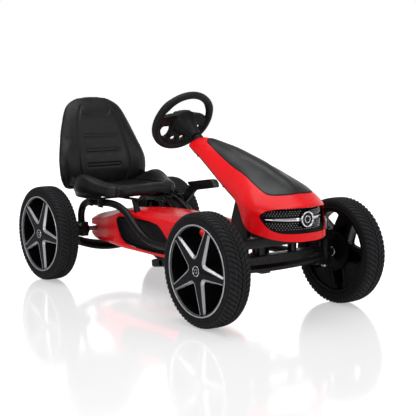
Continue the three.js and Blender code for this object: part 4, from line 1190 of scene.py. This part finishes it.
def base_ring(row):
    x, half, wing, middle = row
    half += BASE_FULLNESS * (1 - smoothstep(-340, -250, x))
    right = [(half * 0.84, BASE_FLOOR), (half * 0.98, BASE_FLOOR + 7), (half, (BASE_FLOOR + wing) / 2),
             (half * 0.93, wing), (half * 0.78, wing - 3), (half * 0.55, middle + 3)]
    ring = right + [(0, middle)] + [(-y, z) for y, z in reversed(right)]
    return [(x, y, max(z, BASE_FLOOR)) for y, z in flat_spline(ring, 4)]


def back_ring(row):
    z, x, half, dip, thick = row
    half += BACK_FULLNESS
    side = min(12, thick / 3)
    right = [(1, side), (0.92, side / 4 + 1), (0.8, 0.5), (0.62, dip * 0.7), (0.38, dip)]
    near = [(x - depth, half * share) for share, depth in right]
    far = thick * CUSHION_SHARE - 0.5
    rear = [(x - far * depth, half * share)
            for share, depth in ((-0.96, 0.8), (-0.6, 1), (0.6, 1), (0.96, 0.8))]
    ring = near + [(x - dip, 0)] + [(a, -b) for a, b in reversed(near)] + rear
    return [(a, b, z) for a, b in flat_spline(ring, 3)]


def puffed(obj, cap, floor):
    """Remeshes a cushion and lets cloth under pressure swell it by at most `cap`."""
    remesh = obj.modifiers.new("remesh", "REMESH")
    remesh.mode = "VOXEL"
    remesh.voxel_size = VOXEL * MM
    applied(obj)
    start = [v.co.copy() for v in obj.data.vertices]
    cloth = obj.modifiers.new("cloth", "CLOTH")
    cloth.settings.quality = 5
    cloth.settings.use_pressure = True
    cloth.settings.uniform_pressure_force = PRESSURE
    cloth.settings.effector_weights.gravity = 0
    for number in range(1, CLOTH_FRAMES + 1):
        bpy.context.scene.frame_set(number)
    applied(obj)
    bpy.context.scene.frame_set(1)
    for v, rest in zip(obj.data.vertices, start):
        move = v.co - rest
        if move.length > cap * MM:
            v.co = rest + move.normalized() * cap * MM
        if floor is not None:
            v.co.z = max(v.co.z, floor * MM)


def eased(obj):
    """Evens out the voxel steps, then adds one subdivision."""
    smoothing = obj.modifiers.new("even", "SMOOTH")
    smoothing.factor = 0.5
    smoothing.iterations = SMOOTHING_ROUNDS
    finer = obj.modifiers.new("finer", "SUBSURF")
    finer.levels = finer.render_levels = 1
    applied(obj)


def snapped(obj, lines, step=2.0):
    """Lines laid on a cushion's surface, as fine points in millimetres."""
    mesh = obj.data
    tree = BVHTree.FromPolygons([v.co / MM for v in mesh.vertices], [p.vertices for p in mesh.polygons])
    out = []
    for line in lines:
        if len(line) > 2:
            fine = spline(line, 8)
        else:
            fine = [Vector(line[0]).lerp(Vector(line[1]), k / 24) for k in range(25)]
        laid = [tree.find_nearest(p)[0] for p in fine]
        even = [laid[0]]
        for p in laid[1:]:
            while (p - even[-1]).length > step:
                even.append(even[-1] + (p - even[-1]).normalized() * step)
        out.append([tree.find_nearest(p)[:2] for p in even])
    return out


def carved(obj, lines, width, depth):
    """Presses grooves of a rounded section into a surface along lines."""
    points = [p for line in lines for p, _ in line]
    tree = KDTree(len(points))
    for i, p in enumerate(points):
        tree.insert(p, i)
    tree.balance()
    moves = []
    for v in obj.data.vertices:
        _, _, distance = tree.find(v.co / MM)
        if distance < width:
            moves.append((v, v.normal * (depth * MM * (1 - (distance / width) ** 2) ** 2)))
    for v, move in moves:
        v.co -= move


def stitches(lines, offset, every=3):
    """Short threads along both sides of the seams, or on them."""
    parts = []
    for line in lines:
        for i in range(2, len(line) - 3, every):
            (p, normal), (q, _) = line[i], line[i + 2]
            side = (q - p).normalized().cross(normal) if (q - p).length > 0.1 else None
            if side is None:
                continue
            for sign in ((-1, 1) if offset else (0,)):
                shift = side * (sign * offset) + normal * 0.25
                parts.append(tube([p + shift - normal * 0.6, p.lerp(q, 0.25) + shift, p.lerp(q, 0.75) + shift,
                                   q + shift - normal * 0.6], THREAD_R, 5))
    return merge(*parts)


def cushion(node, rings, cap, floor=None):
    name = node + "_piece"
    obj = linked(name, mesh_of(name, loft(rings), LEATHER))
    puffed(obj, cap, floor)
    eased(obj)
    return dressed(obj, "seat", node, 0, 80)


def mirrored_lines(lines):
    return lines + [[(x, -y, z) for x, y, z in line] for line in lines]


def add_seat_base():
    obj = cushion("seat_base_cushion", [base_ring(row) for row in resampled(BASE, 44)], 5, BASE_FLOOR)
    wing = [(-452, 92, 318), (-420, 96, 320), (-370, 98, 322), (-310, 95, 320), (-262, 90, 320),
            (-243, 88, 322)]
    corner = [(-243, 88, 323), (-234, 102, 328), (-222, 116, 328), (-213, 120, 318), (-212, 121, 304),
              (-216, 119, 290)]
    roll = [(-243, -88, 322), (-243, 0, 320), (-243, 88, 322)]
    piping = [(-452, 140, 330), (-420, 154, 348), (-395, 159, 356), (-365, 160, 356), (-330, 156, 348),
              (-296, 150, 339), (-264, 141, 333), (-240, 130, 330), (-222, 116, 327)]
    seam_lines = mirrored_lines([wing, corner]) + [roll]
    seams = snapped(obj, seam_lines)
    soft = snapped(obj, mirrored_lines([piping]))
    carved(obj, seams, 6.0, 3.0)
    carved(obj, soft, 3.6, 0.8)
    make("seat_base_stitches", stitches(snapped(obj, seam_lines), 3.4), THREAD, "seat")


def back_face(y, z):
    """A point near the front of the backrest."""
    return (-483 - 0.273 * (z - 378) + (14 if abs(y) > 100 else 0), y, z)


def add_seat_back():
    obj = cushion("seat_back_cushion", [back_ring(row) for row in resampled(BACK, 64)], 4)
    side = ((84, 312), (96, 350), (101, 395), (98, 440), (89, 500), (76, 548), (58, 590))
    side_lines = mirrored_lines([[back_face(y, z) for y, z in side]])
    seams = snapped(obj, side_lines)
    bar_levels = (479, 428, 377)
    bars = [[back_face(-66, z + d), back_face(66, z + d)] for z in bar_levels for d in (-5.5, 5.5)]
    bars += [[back_face(s * y, z + d) for y, d in ((66, -5.5), (68.5, 0), (66, 5.5))]
             for z in bar_levels for s in (-1, 1)]
    half_head = ((-56, 592), (-55, 572), (-49, 558), (-36, 552))
    head = [back_face(y, z) for y, z in (*half_head, (0, 551), *[(-y, z) for y, z in reversed(half_head)])]
    grooves = snapped(obj, bars + [head])
    carved(obj, seams, 6.5, 3.2)
    carved(obj, grooves, 4.2, 2.6)
    make("seat_back_stitches", stitches(snapped(obj, side_lines), 3.6), THREAD, "seat")


def add_seat_shell():
    """The hard parts of the seat: ribbed back shell, base pan, hinge plates and the pan's padded edges."""
    rings = []
    for z, x, half, _, thick in resampled(BACK[:12], 40):
        near = x - thick * CUSHION_SHARE - 0.8
        far = near - 9
        left = [(far, 0.6), (far + 0.6, 0.72), (far + 3, 0.84), (near - 2.5, 0.9), (near, 0.88)]
        ring = left + [(a, -share) for a, share in reversed(left)]
        rings.append([(a, half * share, z) for a, share in ring])
    ribs = []
    for y in (-70, -35, 0, 35, 70):
        spine = []
        for z, x, half, _, thick in resampled(BACK[:11], 24):
            at = x - thick * CUSHION_SHARE - 9.8
            if abs(y) < half * 0.55 and 318 < z < 560:
                rib = ((2, -3.5), (-1.6, -1.8), (-1.6, 1.8), (2, 3.5))
                spine.append([(at + dx, y + dy, z) for dx, dy in rib])
        ribs.append(loft(spine))
    make("seat_back_shell_piece", merge(loft(rings), *ribs), PLASTIC, "seat", "seat_back_shell", sharp=40)
    refined("seat_base_pan", PLASTIC, 1.2)
    straps = []
    for sign in (-1, 1):
        ys = sorted((sign * 148, sign * 152))
        outline = [(-512, 332), (-498, 318), (-440, 312), (-428, 322), (-432, 340), (-470, 352), (-505, 352)]
        straps.append(prism(rounded(outline, 7, 4), *ys, across))
        straps += [bolt((x, sign * 152, z), (0, sign, 0), 4) for x, z in ((-494, 336), (-444, 326))]
    make("seat_hinges", merge(*straps), PAINT, "seat", sharp=30)
    lips = []
    rear, front = -446, -276
    for sign in (-1, 1):
        rings = []
        for x, half, *_ in [row for row in resampled(BASE, 60) if rear < row[0] < front]:
            inner, outer = 141.5, half * 0.985
            ease = 6 * (1 - smoothstep(rear, rear + 21, x) * (1 - smoothstep(front - 24, front, x)))
            ring = [(inner, 291), (inner, 281 + ease), ((inner + outer) / 2, 277.5 + ease),
                    (outer, 282 + ease), (outer, 294)]
            rings.append([(x, sign * y, z) for y, z in ring])
        lips.append(loft(rings))
    make("seat_side_lips", merge(*lips), LEATHER, "seat", sharp=60)


add_seat_base()
add_seat_back()
add_seat_shell()


# ---- Floor, light and camera ----
def lamp(name, place, target, size, watts):
    """A rectangular lamp, placed in metres."""
    data = bpy.data.lights.new(name, "AREA")
    data.shape = "RECTANGLE"
    data.size, data.size_y = size
    data.energy = watts
    obj = linked(name, data)
    obj.location = place
    obj.rotation_euler = (Vector(target) - Vector(place)).to_track_quat("-Z", "Y").to_euler()


FLOOR_Z, FLOOR_R = -0.4, 9000
FLOOR_GLOW = 0.43  # the floor's own light, which the kart's reflections leave out
CAMERA_PLACE, CAMERA_TARGET = (2646.1, -1895.6, 674.4), (0, 94.9, 258.3)
CAMERA_LENS, CAMERA_ROLL = 88.42, -0.6
SKY_FILL = 0.6  # world strength for diffuse rays
SKY_GLOSS = (1.05, 0.35)  # world strength in reflections, at the horizon and overhead


def stage():
    finish = material("floor_white", "#f4f4f5", 0.1, 0.5, shade=0.01, patch=2, grain=(300, 0.0),
                      gloss_range=0.02)
    tree = finish.node_tree
    shader = tree.nodes["Principled BSDF"]
    shader.inputs["Emission Color"].default_value = (1, 1, 1, 1)
    glossy = tree.nodes.new("ShaderNodeLightPath").outputs["Is Glossy Ray"]
    tree.links.new(level(tree, glossy, 0.0, 1.0, FLOOR_GLOW, 0.0), shader.inputs["Emission Strength"])
    rings = [[(x, y, FLOOR_Z) for x, y in circle(r, 64)] for r in (1, FLOOR_R)]
    obj = linked("floor", mesh_of("floor", loft(rings, capped=False), finish, away_from=(0, 0, -1000)))
    world = bpy.data.worlds.new("studio")
    bpy.context.scene.world = world
    world.use_nodes = True
    tree = world.node_tree
    background = tree.nodes["Background"]
    background.inputs["Color"].default_value = (1, 1, 1, 1)
    path = tree.nodes.new("ShaderNodeLightPath").outputs
    way = tree.nodes.new("ShaderNodeSeparateXYZ")
    tree.links.new(tree.nodes.new("ShaderNodeTexCoord").outputs["Generated"], way.inputs[0])
    low = level(tree, way.outputs["Z"], 0.16, 0.4, *SKY_GLOSS)
    mirrored = level(tree, way.outputs["Y"], 0.1, 0.35, SKY_GLOSS[1], low)
    lit = level(tree, path["Is Diffuse Ray"], 0.0, 1.0, 1.0, SKY_FILL)
    tree.links.new(level(tree, path["Is Glossy Ray"], 0.0, 1.0, lit, mirrored), background.inputs["Strength"])
    lamp("top_softbox", (0.2, -0.3, 2.6), (0, 0, 0), (2.6, 2.2), 46)
    lamp("left_softbox", (1.2, -3.0, 1.6), (0, 0, 0.3), (2.0, 1.6), 26)
    lamp("right_softbox", (3.2, 1.4, 1.8), (0.2, 0, 0.3), (1.6, 1.4), 20)


def add_camera():
    data = bpy.data.cameras.new("camera")
    data.lens = CAMERA_LENS
    data.sensor_width = 36
    obj = linked("camera", data)
    place, target = Vector(CAMERA_PLACE) * MM, Vector(CAMERA_TARGET) * MM
    obj.location = place
    roll = Quaternion((0, 0, 1), math.radians(CAMERA_ROLL))
    obj.rotation_mode = "QUATERNION"
    obj.rotation_quaternion = (target - place).to_track_quat("-Z", "Y") @ roll
    bpy.context.scene.camera = obj


stage()
add_camera()
bpy.context.scene.view_settings.view_transform = "Standard"
